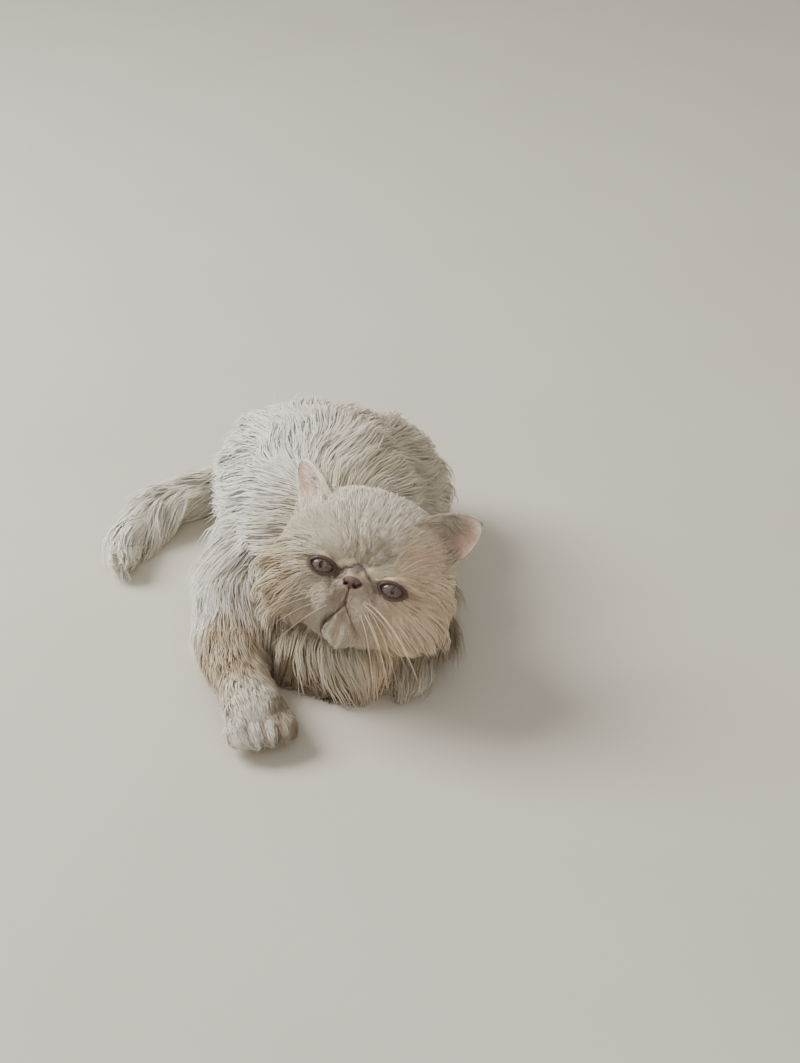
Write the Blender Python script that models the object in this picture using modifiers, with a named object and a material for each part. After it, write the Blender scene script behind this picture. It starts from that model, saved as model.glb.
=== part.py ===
"""A long-haired flat-faced cat lying on its chest, its head tilted and looking up, life size, in metres.

The frame: +Z up, the cat faces -Y, and its left side is at +X. It rests on the plane z = 0.
Every part is a core of flesh and undercoat, and the outer coat is flat tapered locks rooted in it.
"""

import math
import random

import bmesh
import bpy
import numpy as np
from mathutils import Matrix, Vector
from mathutils.bvhtree import BVHTree

OBJECT_NAME = "persian_cat"

# Gaps and shells
GAP = 0.0004
SKIN_MARGIN = 0.0003
LEAST_WALL = 0.000001
FLOOR_CLEARANCE = 0.0006
FLOOR_VARIATION = 0.0008
EAR_THICKNESS = 0.0022
EAR_SUNK = 0.010

# Head, in its own frame: x to the cat's left, -y out of the face, z to the crown
HEAD_CENTRE = Vector((0.0238, -0.0815, 0.0846))
HEAD_YAW = math.radians(-3.0)
HEAD_PITCH = math.radians(33.0)
HEAD_ROLL = math.radians(18.5)
SKULL_HALF_WIDTH = 0.0540
SKULL_TOP = 0.0555
SKULL_BOTTOM = 0.0460
SKULL_FRONT = 0.0415
SKULL_BACK = 0.0480
SKULL_SQUARENESS = 2.35
EYE_SPACING = 0.0450
EYE_RADIUS = 0.0112
EYE_DEPTH = 0.0325
EYE_HEIGHT = -0.0030
LID_THICKNESS = 0.0014
EYE_OPENING = (0.0086, 0.0054)
EAR_LENGTH = 0.0325
EAR_HALF_WIDTH = 0.0175
EAR_LEAN = math.radians(47.0)
EAR_ROOT = {-1: (-0.0335, 0.002, 0.0350), 1: (0.0360, 0.0, 0.0320)}
EAR_TURN = {-1: math.radians(44.0), 1: math.radians(10.0)}

# Coat: how far its tips stand out of each core
COAT_DEPTH = {"head": 0.015, "neck": 0.018, "torso": 0.014, "hind": 0.013, "tail": 0.016, "front": 0.008}
LOCK_THICKNESS = 0.0024
LOCK_SINK = 0.0035
LOCK_CLEARANCE = 0.0004
LOCK_TRIES = 1400
LOCK_NUDGE = 0.00012
NUDGES = 4
SEED = 11

# Colours
CREAM = (0.80, 0.70, 0.56)
EAR_PINK = (0.78, 0.58, 0.52)
EYE_BROWN = (0.16, 0.07, 0.035)


def clear_scene():
    for obj in list(bpy.data.objects):
        bpy.data.objects.remove(obj, do_unlink=True)


def link(name, mesh):
    """An object for a mesh, in the scene."""
    obj = bpy.data.objects.new(name, mesh)
    bpy.context.scene.collection.objects.link(obj)
    return obj


def material(name, colour, roughness):
    """A Principled finish of one colour."""
    made = bpy.data.materials.new(name)
    made.use_nodes = True
    shader = made.node_tree.nodes["Principled BSDF"]
    shader.inputs["Base Color"].default_value = (*colour, 1.0)
    shader.inputs["Roughness"].default_value = roughness
    shader.inputs["Metallic"].default_value = 0.0
    return made


def edit_mesh(mesh, change):
    """Runs a change on a mesh as a bmesh, and writes it back."""
    work = bmesh.new()
    work.from_mesh(mesh)
    change(work)
    work.to_mesh(mesh)
    work.free()


def new_object(name, points, faces):
    """An object from arrays of points and faces, in triangles that face outwards."""
    mesh = bpy.data.meshes.new(name)
    mesh.from_pydata([tuple(map(float, p)) for p in points], [], [tuple(map(int, f)) for f in faces])
    edit_mesh(mesh, lambda work: bmesh.ops.recalc_face_normals(work, faces=work.faces))
    edit_mesh(mesh, lambda work: bmesh.ops.triangulate(work, faces=work.faces))
    return link(name, mesh)


def ellipsoid(name, centre, half_sizes, turn=None, segments=20, rings=12):
    """A UV sphere stretched to three half sizes, turned and moved in its mesh."""
    mesh = bpy.data.meshes.new(name)
    edit_mesh(
        mesh,
        lambda work: bmesh.ops.create_uvsphere(work, u_segments=segments, v_segments=rings, radius=1.0),
    )
    edit_mesh(mesh, lambda work: bmesh.ops.triangulate(work, faces=work.faces))
    rotation = (turn or Matrix.Identity(3)).to_4x4()
    mesh.transform(Matrix.Translation(Vector(centre)) @ rotation @ Matrix.Diagonal((*half_sizes, 1.0)))
    return link(name, mesh)


def smooth_rows(rows, count):
    """count rows read from a smooth curve through the given rows, by Catmull-Rom."""
    rows = np.array(rows, float)
    padded = np.vstack([2 * rows[0] - rows[1], rows, 2 * rows[-1] - rows[-2]])
    at = np.linspace(0, len(rows) - 1, count)
    i = np.minimum(at.astype(int), len(rows) - 2)
    t = (at - i)[:, None]
    a, b, c, d = (padded[i + k] for k in range(4))
    return 0.5 * (2 * b + (c - a) * t + (2 * a - 5 * b + 4 * c - d) * t**2 + (3 * b - a - 3 * c + d) * t**3)


def loft(name, rows, rings, sides, squareness=2.0):
    """A closed body along a path. Each row is x, y, z, half width, half height; the ends are domes."""
    rows = smooth_rows(rows, rings)
    path, width, height = rows[:, :3], rows[:, 3], rows[:, 4]
    along = np.gradient(path, axis=0)
    along /= np.linalg.norm(along, axis=1)[:, None]
    across = np.cross(along, (0.0, 0.0, 1.0))
    across /= np.linalg.norm(across, axis=1)[:, None]
    upward = np.cross(across, along)
    angle = np.arange(sides) * 2 * math.pi / sides
    wave_x = np.sign(np.cos(angle)) * np.abs(np.cos(angle)) ** (2 / squareness)
    wave_z = np.sign(np.sin(angle)) * np.abs(np.sin(angle)) ** (2 / squareness)
    centres, widths, heights, order = list(path), list(width), list(height), list(range(rings))
    for end, sign in ((0, -1), (rings - 1, 1)):
        shoulder = path[end] + sign * along[end] * height[end] * 0.45
        centres.append(shoulder)
        widths.append(width[end] * 0.72)
        heights.append(height[end] * 0.72)
    order = [rings] + order + [rings + 1]
    frames = [0] + list(range(rings)) + [rings - 1]
    ring = np.array(
        [
            centres[i] + np.outer(widths[i] * wave_x, across[f]) + np.outer(heights[i] * wave_z, upward[f])
            for i, f in zip(order, frames)
        ]
    )
    first = path[0] - along[0] * height[0] * 0.68
    last = path[-1] + along[-1] * height[-1] * 0.68
    points = np.vstack([ring.reshape(-1, 3), first, last])
    count = rings + 2
    faces = []
    for i in range(count - 1):
        for j in range(sides):
            k = (j + 1) % sides
            faces.append((i * sides + j, i * sides + k, (i + 1) * sides + k, (i + 1) * sides + j))
    start, end = count * sides, count * sides + 1
    for j in range(sides):
        k = (j + 1) % sides
        faces.append((start, k, j))
        faces.append((end, (count - 1) * sides + j, (count - 1) * sides + k))
    return new_object(name, points, faces)


def apply_modifiers(obj):
    """Replaces an object's mesh with what its modifiers make of it."""
    graph = bpy.context.evaluated_depsgraph_get()
    graph.update()
    mesh = bpy.data.meshes.new_from_object(obj.evaluated_get(graph))
    obj.modifiers.clear()
    obj.data = mesh


def combine(target, others, operation):
    """Joins or cuts the target with other closed meshes, applies it, and removes them."""
    if not others:
        return target
    group = bpy.data.collections.new("cutters")
    bpy.context.scene.collection.children.link(group)
    for other in others:
        for owner in list(other.users_collection):
            owner.objects.unlink(other)
        group.objects.link(other)
    change = target.modifiers.new("combine", "BOOLEAN")
    change.operation = operation
    change.operand_type = "COLLECTION"
    change.collection = group
    change.solver = "MANIFOLD"
    apply_modifiers(target)
    for other in others:
        bpy.data.objects.remove(other, do_unlink=True)
    bpy.data.collections.remove(group)
    edit_mesh(target.data, split_into_triangles)
    return target


def split_into_triangles(work):
    """Triangulates a mesh. A face whose diagonal would lie on another edge is fanned from its middle."""
    work.verts.index_update()
    trial = work.copy()
    bmesh.ops.triangulate(trial, faces=trial.faces)
    doubled = [{v.index for v in edge.verts} for edge in trial.edges if len(edge.link_faces) > 2]
    trial.free()
    fans = [
        face for face in work.faces if len(face.verts) > 3 and any(d <= {v.index for v in face.verts} for d in doubled)
    ]
    bmesh.ops.poke(work, faces=fans)
    bmesh.ops.triangulate(work, faces=work.faces)


def swell(obj, depth):
    """Moves the faces of a closed mesh outwards by a depth."""

    def move(work):
        work.normal_update()
        shift = {vert: vert.normal * depth * vert.calc_shell_factor() for vert in work.verts}
        for vert, step in shift.items():
            vert.co += step

    edit_mesh(obj.data, move)
    return obj


def copy_of(obj):
    return link(obj.name + "_copy", obj.data.copy())


def cut_at_floor(obj):
    """Removes what lies under z = 0, which leaves a flat to rest on."""
    slab = new_box("slab", (0, 0, -0.25), (2.0, 2.0, 0.5))
    return combine(obj, [slab], "DIFFERENCE")


def new_box(name, centre, sizes):
    mesh = bpy.data.meshes.new(name)
    edit_mesh(mesh, lambda work: bmesh.ops.create_cube(work, size=1.0))
    mesh.transform(Matrix.Translation(Vector(centre)) @ Matrix.Diagonal((*sizes, 1.0)))
    return link(name, mesh)


def ends_of(obj):
    points = np.array([v.co for v in obj.data.vertices])
    return points.min(axis=0), points.max(axis=0)


def boxes_meet(a, b, margin=0.001):
    """True where the boxes round two meshes overlap, or nearly."""
    (low_a, high_a), (low_b, high_b) = ends_of(a), ends_of(b)
    return bool(np.all(low_a - margin < high_b) and np.all(low_b - margin < high_a))


def keep_largest(obj):
    """Keeps the largest closed surface of a mesh, and drops any other."""

    def drop(work):
        unseen, groups = set(work.verts), []
        while unseen:
            stack, group = [unseen.pop()], []
            while stack:
                vert = stack.pop()
                group.append(vert)
                for edge in vert.link_edges:
                    other = edge.other_vert(vert)
                    if other in unseen:
                        unseen.remove(other)
                        stack.append(other)
            groups.append(group)
        largest = max(groups, key=len)
        loose = [v for group in groups if group is not largest for v in group]
        bmesh.ops.delete(work, geom=loose, context="VERTS")

    edit_mesh(obj.data, drop)


# Head


def head_turn():
    """The head's rotation: tilted about its own face axis, then lifted, then turned."""
    return (
        Matrix.Rotation(HEAD_YAW, 3, "Z")
        @ Matrix.Rotation(-HEAD_PITCH, 3, "X")
        @ Matrix.Rotation(HEAD_ROLL, 3, "Y")
    )


def in_head(point):
    return HEAD_CENTRE + head_turn() @ Vector(point)


# Swellings and hollows of the face: x, z, radius across, radius up, height out of the skull
FACE_FORMS = (
    (0.000, 0.0230, 0.0230, 0.0150, 0.0028),
    (0.0215, 0.0095, 0.0110, 0.0050, 0.0030),
    (0.000, 0.0055, 0.0048, 0.0040, -0.0048),
    (0.000, -0.0052, 0.0058, 0.0042, 0.0056),
    (0.0095, -0.0030, 0.0028, 0.0055, -0.0030),
    (0.0105, -0.0205, 0.0095, 0.0095, 0.0078),
    (0.000, -0.0375, 0.0085, 0.0060, 0.0085),
    (0.0390, -0.0190, 0.0170, 0.0160, 0.0090),
)
# The mouth as grooves from point to point: x, z, x, z, half width, depth
MOUTH_LINES = (
    (0.0, -0.0095, 0.0, -0.0205, 0.0011, 0.0024),
    (0.0, -0.0205, 0.0050, -0.0265, 0.0013, 0.0034),
    (0.0050, -0.0265, 0.0105, -0.0350, 0.0013, 0.0034),
)


def bump(x, z, cx, cz, rx, rz):
    return np.exp(-(((x - cx) / rx) ** 2) - ((z - cz) / rz) ** 2)


def along_line(x, z, ax, az, bx, bz, width):
    """1 on the line from a to b, falling off to both sides."""
    dx, dz = bx - ax, bz - az
    t = np.clip(((x - ax) * dx + (z - az) * dz) / (dx * dx + dz * dz), 0, 1)
    away = (x - ax - t * dx) ** 2 + (z - az - t * dz) ** 2
    return np.exp(-away / width**2)


def with_lids(directions, radius):
    """Swells the surface over each eyeball, so that a lid of even thickness covers it."""
    centre = np.array([EYE_SPACING / 2, -EYE_DEPTH, EYE_HEIGHT])
    reach = EYE_RADIUS + LID_THICKNESS
    folded = np.abs(directions[:, 0]) * centre[0] + directions[:, 1] * centre[1] + directions[:, 2] * centre[2]
    inside = folded**2 - centre @ centre + reach**2
    hit = np.where(inside > 0, folded + np.sqrt(np.maximum(inside, 0)), 0)
    soft = 0.0012
    return np.where(hit > 0, 0.5 * (radius + hit + np.sqrt((radius - hit) ** 2 + soft**2)), radius)


def head_radius(directions):
    """How far the head's surface is from its centre, along unit directions in the head's frame."""
    x, y, z = directions.T
    depth = np.where(y < 0, SKULL_FRONT, SKULL_BACK)
    rise = np.where(z > 0, SKULL_TOP, SKULL_BOTTOM)
    p = SKULL_SQUARENESS
    shape = np.abs(x / SKULL_HALF_WIDTH) ** p + np.abs(y / depth) ** p + np.abs(z / rise) ** p
    radius = shape ** (-1 / p)
    side, front_y, pz = np.abs(x * radius), y * radius, z * radius
    front = np.clip(-front_y / 0.02, 0, 1)
    for cx, cz, rx, rz, height in FACE_FORMS:
        radius = radius + front * height * bump(side, pz, cx, cz, rx, rz)
    for ax, az, bx, bz, width, depth_in in MOUTH_LINES:
        radius = radius - front * depth_in * along_line(side, pz, ax, az, bx, bz, width)
    return with_lids(directions, radius)


def build_head_core():
    """A sphere with its rings drawn towards the face, each point set at the head's radius."""
    segments, rings = 38, 23
    mesh = bpy.data.meshes.new("head")
    edit_mesh(
        mesh,
        lambda work: bmesh.ops.create_uvsphere(work, u_segments=segments, v_segments=rings, radius=1.0),
    )
    points = np.array([v.co for v in mesh.vertices])
    polar = np.arccos(np.clip(points[:, 2], -1, 1))
    share = polar / math.pi
    polar_new = math.pi * (0.60 * share + 0.40 * share**2.4)
    turn = np.arctan2(points[:, 1], points[:, 0])
    directions = np.stack(
        [np.sin(polar_new) * np.cos(turn), -np.cos(polar_new), np.sin(polar_new) * np.sin(turn)], axis=-1
    )
    shaped = directions * head_radius(directions)[:, None]
    mesh.vertices.foreach_set("co", shaped.ravel())
    edit_mesh(mesh, lambda work: bmesh.ops.recalc_face_normals(work, faces=work.faces))
    edit_mesh(mesh, lambda work: bmesh.ops.triangulate(work, faces=work.faces))
    mesh.transform(Matrix.Translation(HEAD_CENTRE) @ head_turn().to_4x4())
    return link("head", mesh)


def eye_centre(side):
    return in_head((side * EYE_SPACING / 2, -EYE_DEPTH, EYE_HEIGHT))


def build_eye(name, side):
    turn = head_turn() @ Matrix.Rotation(math.radians(90), 3, "X")
    return ellipsoid(name, eye_centre(side), (EYE_RADIUS,) * 3, turn, 16, 9)


def eye_cutters(side):
    """The pocket of one eyeball and the almond opening between its lids."""
    turn = head_turn() @ Matrix.Rotation(side * math.radians(4), 3, "Y")
    front = in_head((side * EYE_SPACING / 2, -EYE_DEPTH - EYE_RADIUS, EYE_HEIGHT - 0.0006))
    ball = ellipsoid("ball", eye_centre(side), (EYE_RADIUS + GAP,) * 3, turn, 16, 9)
    opening = ellipsoid("opening", front, (EYE_OPENING[0], 0.006, EYE_OPENING[1]), turn, 16, 8)
    return [ball, opening]


def nostril_cutter(side):
    turn = head_turn() @ Matrix.Rotation(side * math.radians(-35), 3, "Y")
    return ellipsoid("nostril", in_head((side * 0.0034, -0.0466, -0.0068)), (0.0020, 0.0036, 0.0011), turn, 8, 6)


def build_ear(name, side):
    """An open cup: a leaf-shaped sheet rolled towards its own axis, then given its thickness."""
    rows, columns = 9, 9
    up = np.linspace(0, 1, rows)[:, None]
    across = np.linspace(-1, 1, columns)[None, :]
    half = EAR_HALF_WIDTH * (1 - up**2.4) ** 0.60 * (1 - 0.08 * up) + 0.0012
    roll = math.radians(84) * (1 - 0.45 * up)
    bend = across * roll
    x = half * np.sin(bend) / np.sin(roll)
    y = -half * 0.75 * (1 - np.cos(bend)) - 0.004 * up**2
    z = -EAR_SUNK + (EAR_LENGTH + EAR_SUNK) * up + 0 * across
    grid = np.stack([x, y, z], axis=-1).reshape(-1, 3)
    faces = [
        (i * columns + j, i * columns + j + 1, (i + 1) * columns + j + 1, (i + 1) * columns + j)
        for i in range(rows - 1)
        for j in range(columns - 1)
    ]
    ear = new_object(name, grid, faces)
    shell = ear.modifiers.new("thickness", "SOLIDIFY")
    shell.thickness = EAR_THICKNESS
    shell.offset = 0.0
    apply_modifiers(ear)
    edit_mesh(ear.data, lambda work: bmesh.ops.triangulate(work, faces=work.faces))
    lean = Matrix.Rotation(side * EAR_LEAN, 3, "Y") @ Matrix.Rotation(side * EAR_TURN[side], 3, "Z")
    ear.data.transform(Matrix.Translation(EAR_ROOT[side]) @ lean.to_4x4())
    ear.data.transform(Matrix.Translation(HEAD_CENTRE) @ head_turn().to_4x4())
    return ear


# Body. Rows are x, y, z, half width, half height of the core, in metres

TORSO = (
    (0.006, -0.052, 0.040, 0.036, 0.034),
    (0.004, -0.025, 0.052, 0.050, 0.054),
    (0.000, 0.005, 0.060, 0.056, 0.064),
    (-0.006, 0.035, 0.060, 0.058, 0.066),
    (-0.011, 0.065, 0.056, 0.057, 0.062),
    (-0.015, 0.095, 0.049, 0.054, 0.055),
    (-0.018, 0.120, 0.040, 0.045, 0.044),
    (-0.020, 0.138, 0.032, 0.030, 0.030),
)
NECK_CENTRE = (0.016, -0.057, 0.040)
NECK_HALF = (0.054, 0.050, 0.068)
FRONT_LEG_OUT = (
    (-0.050, -0.008, 0.042, 0.026, 0.030),
    (-0.062, -0.030, 0.028, 0.026, 0.027),
    (-0.060, -0.080, 0.022, 0.021, 0.021),
    (-0.049, -0.118, 0.019, 0.020, 0.018),
    (-0.042, -0.140, 0.017, 0.021, 0.016),
)
FRONT_LEG_TUCKED = (
    (0.048, -0.002, 0.042, 0.022, 0.028),
    (0.059, -0.018, 0.026, 0.020, 0.024),
    (0.060, -0.040, 0.019, 0.018, 0.018),
    (0.056, -0.060, 0.017, 0.018, 0.016),
    (0.049, -0.072, 0.016, 0.019, 0.015),
)
THIGHS = {
    -1: ((-0.047, 0.088, 0.042), (0.026, 0.046, 0.042), 8),
    1: ((0.039, 0.086, 0.042), (0.038, 0.054, 0.042), -10),
}
HIND_FEET = {
    -1: (
        (-0.056, 0.082, 0.016, 0.016, 0.016),
        (-0.061, 0.060, 0.015, 0.014, 0.014),
        (-0.062, 0.040, 0.014, 0.017, 0.014),
    ),
    1: (
        (0.056, 0.076, 0.016, 0.016, 0.016),
        (0.063, 0.054, 0.015, 0.014, 0.014),
        (0.066, 0.032, 0.014, 0.017, 0.014),
    ),
}
TAIL = (
    (-0.019, 0.134, 0.032, 0.014, 0.014),
    (-0.048, 0.156, 0.022, 0.013, 0.013),
    (-0.084, 0.150, 0.017, 0.013, 0.013),
    (-0.118, 0.128, 0.016, 0.014, 0.013),
    (-0.142, 0.092, 0.015, 0.013, 0.013),
    (-0.150, 0.052, 0.014, 0.009, 0.009),
)


def toes(centre, heading, width, size):
    """Four toes side by side across the front of a paw."""
    made = []
    turn = Matrix.Rotation(heading, 3, "Z")
    for i in range(4):
        share = i - 1.5
        forward = 0.0035 * (1.5 - abs(share))
        offset = turn @ Vector((share * width / 3.6, -forward, 0))
        made.append(ellipsoid("toe", Vector(centre) + offset, (size, size * 1.6, size * 1.15), turn, 8, 6))
    return made


def build_front_leg(name, rows, heading):
    leg = loft(name, rows, 8, 12)
    paw = Vector(rows[-1][:3])
    ahead = Matrix.Rotation(heading, 3, "Z") @ Vector((0, -0.011, -0.003))
    return combine(leg, toes(paw + ahead, heading, 0.035, 0.0078), "UNION")


def build_hind_leg(name, side):
    """The folded thigh and the long foot that lies forward under it."""
    centre, half, turn = THIGHS[side]
    thigh = ellipsoid(name, centre, half, Matrix.Rotation(math.radians(turn), 3, "Z"), 14, 9)
    foot = loft("foot", HIND_FEET[side], 4, 10)
    x, y, z = HIND_FEET[side][-1][:3]
    return combine(thigh, [foot, *toes((x, y - 0.009, z - 0.002), 0.0, 0.031, 0.0072)], "UNION")


def build_tail_length(name, first, last):
    """One length of the tail: the rows from first to last of the smooth tail."""
    rows = smooth_rows(TAIL, 19)[first : last + 1]
    return loft(name, rows, 5, 8)


# Locks. Where a lock's sections lie along it, how wide and how high over the core they are, as shares
LOCK_STATIONS = (
    (0.00, 0.60, 0.0),
    (0.36, 1.00, 0.42),
    (0.74, 0.66, 0.70),
)
LOCK_TIP_RISE = 0.66
LOCK_WAVE = (0.0, 0.10, -0.02, -0.18)


def in_fixed_order(corners):
    """Triangles sorted by place, each from its own first corner, so that a draw from them is always the same."""
    cells = np.round((corners + 1.0) * 1e6).astype(np.int64)
    rank = (cells[..., 0] * 2_000_000 + cells[..., 1]) * 2_000_000 + cells[..., 2]
    turn = (rank.argmin(axis=1)[:, None] + np.arange(3)) % 3
    rows = np.arange(len(corners))
    return corners[rows[:, None], turn][np.argsort(rank.sum(axis=1))]


class Skin:
    """A core's surface, to set locks on."""

    def __init__(self, obj):
        mesh = obj.data
        mesh.calc_loop_triangles()
        self.points = [v.co.copy() for v in mesh.vertices]
        self.faces = [tuple(t.vertices) for t in mesh.loop_triangles]
        self.tree = BVHTree.FromPolygons(self.points, self.faces)
        self.corners = in_fixed_order(np.array(self.points)[np.array(self.faces)])
        sides = self.corners[:, 1:] - self.corners[:, :1]
        self.areas = np.linalg.norm(np.cross(sides[:, 0], sides[:, 1]), axis=1) / 2
        self.vertex_normals = [v.normal.copy() for v in mesh.vertices]

    def grown_tree(self):
        """The surface moved outwards by a small margin, to keep the locks of other nodes off it."""
        moved = [point + normal * SKIN_MARGIN for point, normal in zip(self.points, self.vertex_normals)]
        return BVHTree.FromPolygons(moved, self.faces)

    def nearest(self, point):
        """The nearest place on the surface, with its normal blended from the face's corners."""
        place, normal, index, _ = self.tree.find_nearest(point)
        weights = [1 / ((place - self.points[k]).length + 1e-4) for k in self.faces[index]]
        blend = sum((self.vertex_normals[k] * w for k, w in zip(self.faces[index], weights)), Vector())
        return place, (blend.normalized() + normal * 0.4).normalized()

    def roots(self, draw, spacing, allowed, tries):
        """Places spread over the surface, no two nearer than the spacing, where allowed says so."""
        picks = draw.choices(range(len(self.areas)), weights=self.areas, k=tries)
        kept = []
        for face in picks:
            a, b = sorted((draw.random(), draw.random()))
            place = Vector(self.corners[face].T @ np.array([a, b - a, 1 - b]))
            if allowed(place) and all((place - other).length > spacing for other in kept):
                kept.append(place)
        return kept


def lock_sections(skin, root, flow, size, rise, wave):
    """The middle, sideways and outward directions of a lock at its sections and tip, along the flow."""
    length, depth = size[0], size[2] * rise
    place, normal = skin.nearest(root)
    heading = flow(place, normal)
    sections, share = [], 0.0
    for (station, width, height), sway in zip((*LOCK_STATIONS, (1.0, 0.0, LOCK_TIP_RISE)), LOCK_WAVE):
        place, normal = skin.nearest(place + heading * (station - share) * length)
        heading = flow(place, normal)
        share = station
        lift = -LOCK_SINK if station == 0 else depth * height
        across = normal.cross(heading).normalized()
        sections.append((place + normal * lift + across * sway * wave * length, across, normal, width))
    return sections


def lock_mesh(sections, width, thickness, floor):
    """A flat tapered body of four sides through the sections, ending in a point, all above the floor."""
    points = []
    for i, (middle, across, normal, share) in enumerate(sections[:-1]):
        half, thick = width * share / 2, thickness * (0.55 + 0.45 * share) / 2
        low = floor + thick * (1.2 + 0.1 * i)
        middle = Vector((middle.x, middle.y, max(middle.z, low)))
        for j, offset in enumerate((across * half, normal * thick, across * -half, normal * -thick)):
            point = middle + offset
            least = floor + 0.0001 * j + 0.0004 * (offset.z > 0)
            points.append(Vector((point.x, point.y, max(point.z, least))))
    tip = sections[-1][0]
    points.append(Vector((tip.x, tip.y, max(tip.z, floor + thickness * 0.3))))
    faces = [(0, 1, 2), (0, 2, 3)]
    rings = len(sections) - 1
    for i in range(rings - 1):
        for j in range(4):
            a, b = i * 4 + j, i * 4 + (j + 1) % 4
            faces += [(a, a + 4, b), (b, a + 4, b + 4)]
    last = rings * 4
    for j in range(4):
        faces.append((last - 4 + j, last, last - 4 + (j + 1) % 4))
    return points, faces


def grow_locks(skins):
    """Sets the locks of every coat. One that would cross another node is bent, shortened or left out."""
    solids = {name: [skin.grown_tree()] for name, skin in skins.items()}
    locks = {name: [] for name in skins}
    for name, draw_seed, spacing, length, width, kind, flow, allowed in COATS:
        size = (length, width, COAT_DEPTH[kind])
        draw = random.Random(SEED + draw_seed)
        skin = skins[name]
        others = [other for other in skins if other != name]
        for root in skin.roots(draw, spacing, allowed, LOCK_TRIES):
            turn = Matrix.Rotation(draw.uniform(-0.24, 0.24), 3, skin.nearest(root)[1])
            own = [part * draw.uniform(0.86, 1.14) for part in size]
            wave = draw.uniform(-1, 1)
            floor = FLOOR_CLEARANCE + draw.uniform(0, FLOOR_VARIATION)
            for rise, cut in ((1.0, 1.0), (1.3, 1.0), (0.7, 0.8), (1.6, 0.9), (1.0, 0.6), (2.0, 0.7)):
                bent = lambda place, normal: turn @ flow(place, normal)
                shape = (own[0] * cut, own[1], own[2])
                sections = lock_sections(skin, root, bent, shape, rise, wave)
                fat = lock_mesh(sections, own[1] + 2 * LOCK_CLEARANCE, LOCK_THICKNESS + 2 * LOCK_CLEARANCE, floor)
                tree = BVHTree.FromPolygons(*fat)
                if not any(tree.overlap(solid) for other in others for solid in solids[other]):
                    points, faces = lock_mesh(sections, own[1], LOCK_THICKNESS, floor)
                    locks[name].append((points, faces))
                    solids[name].append(BVHTree.FromPolygons(points, faces))
                    break
    return locks


def touching_places(obj):
    """Where a mesh of triangles comes within a micrometre of itself, which leaves an edge with over two faces."""
    points = np.array([v.co for v in obj.data.vertices])
    faces = np.array([face.vertices[:] for face in obj.data.polygons])
    cells = np.round(points / LEAST_WALL).astype(np.int64)
    _, first, index = np.unique(cells, axis=0, return_index=True, return_inverse=True)
    faces = index.reshape(-1)[faces]
    whole = (faces[:, 0] != faces[:, 1]) & (faces[:, 1] != faces[:, 2]) & (faces[:, 0] != faces[:, 2])
    faces = faces[whole]
    ends = np.sort(np.concatenate([faces[:, [0, 1]], faces[:, [1, 2]], faces[:, [2, 0]]]), axis=1)
    edges, count = np.unique(ends, axis=0, return_counts=True)
    return points[first][edges[count != 2]].mean(axis=1)


def set_locks(core, locks, draw):
    """Fuses the locks to their core. One that meets another edge to edge is nudged, then left out, and all
    are fused again."""
    locks = list(locks)
    for attempt in range(NUDGES + len(locks)):
        trial = copy_of(core)
        combine(trial, [new_object("lock", points, faces) for points, faces in locks], "UNION")
        keep_largest(trial)
        places = touching_places(trial)
        mesh = trial.data
        bpy.data.objects.remove(trial, do_unlink=True)
        if not len(places):
            break
        at_fault = []
        for i, (points, _) in enumerate(locks):
            ends = np.array(points)
            low, high = ends.min(axis=0) - LOCK_NUDGE, ends.max(axis=0) + LOCK_NUDGE
            if np.any(np.all((places > low) & (places < high), axis=1)):
                at_fault.append(i)
        if attempt >= NUDGES:
            del locks[at_fault[-1]]
            continue
        for i in at_fault:
            step = LOCK_NUDGE * Vector((draw.uniform(-1, 1), draw.uniform(-1, 1), draw.random()))
            locks[i] = ([point + step for point in locks[i][0]], locks[i][1])
    core.data = mesh


def tangent(direction, normal):
    """A direction laid flat on the surface."""
    flat = direction - normal * direction.dot(normal)
    return flat.normalized() if flat.length > 1e-4 else normal.orthogonal().normalized()


def ruff_flow(place, normal):
    """Outwards from the head and down."""
    return tangent((place - HEAD_CENTRE).normalized() + Vector((0, 0.1, -0.75)), normal)


def back_flow(place, normal):
    """Towards the rump, and down the flanks."""
    side = 1 if place.x > -0.01 else -1
    return tangent(Vector((side * 0.12, 1.0, -0.55)), normal)


def tail_flow(place, normal):
    """Along the tail, towards its tip."""
    path = smooth_rows(TAIL, 40)[:, :3]
    i = int(np.argmin(np.linalg.norm(path - np.array(place), axis=1)))
    ahead = path[min(i + 1, 39)] - path[max(i - 1, 0)]
    return tangent(Vector(ahead).normalized() + Vector((0, 0, -0.15)), normal)


def cheek_flow(place, normal):
    """From the nose outwards, back and down round the cheeks."""
    local = head_turn().transposed() @ (place - HEAD_CENTRE)
    outwards = head_turn() @ Vector((local.x * 26, 0.55, min(local.z * 14, 0.2) - 0.25))
    return tangent(outwards + Vector((0, 0, -0.25)), normal)


def leg_flow(place, normal):
    """Down and back from the elbow."""
    return tangent(Vector((0, 0.8, -0.7)), normal)


def on_cheek(place):
    local = head_turn().transposed() @ (place - HEAD_CENTRE)
    cheek = abs(local.x) > 0.036 and local.z < 0.022 and local.y > -0.028
    jaw = local.z < -0.034 and -0.022 < local.y < 0.02
    nape = local.y > 0.030 and local.z < 0.040
    return cheek or jaw or nape


def centre_on_floor(nodes):
    """Moves everything so that the middle of its box lies over the origin."""
    ends = np.array([ends_of(obj) for obj in nodes])
    low, high = ends[:, 0].min(axis=0), ends[:, 1].max(axis=0)
    shift = Matrix.Translation((-(low[0] + high[0]) / 2, -(low[1] + high[1]) / 2, -low[2]))
    for obj in nodes:
        obj.data.transform(shift)


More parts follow.
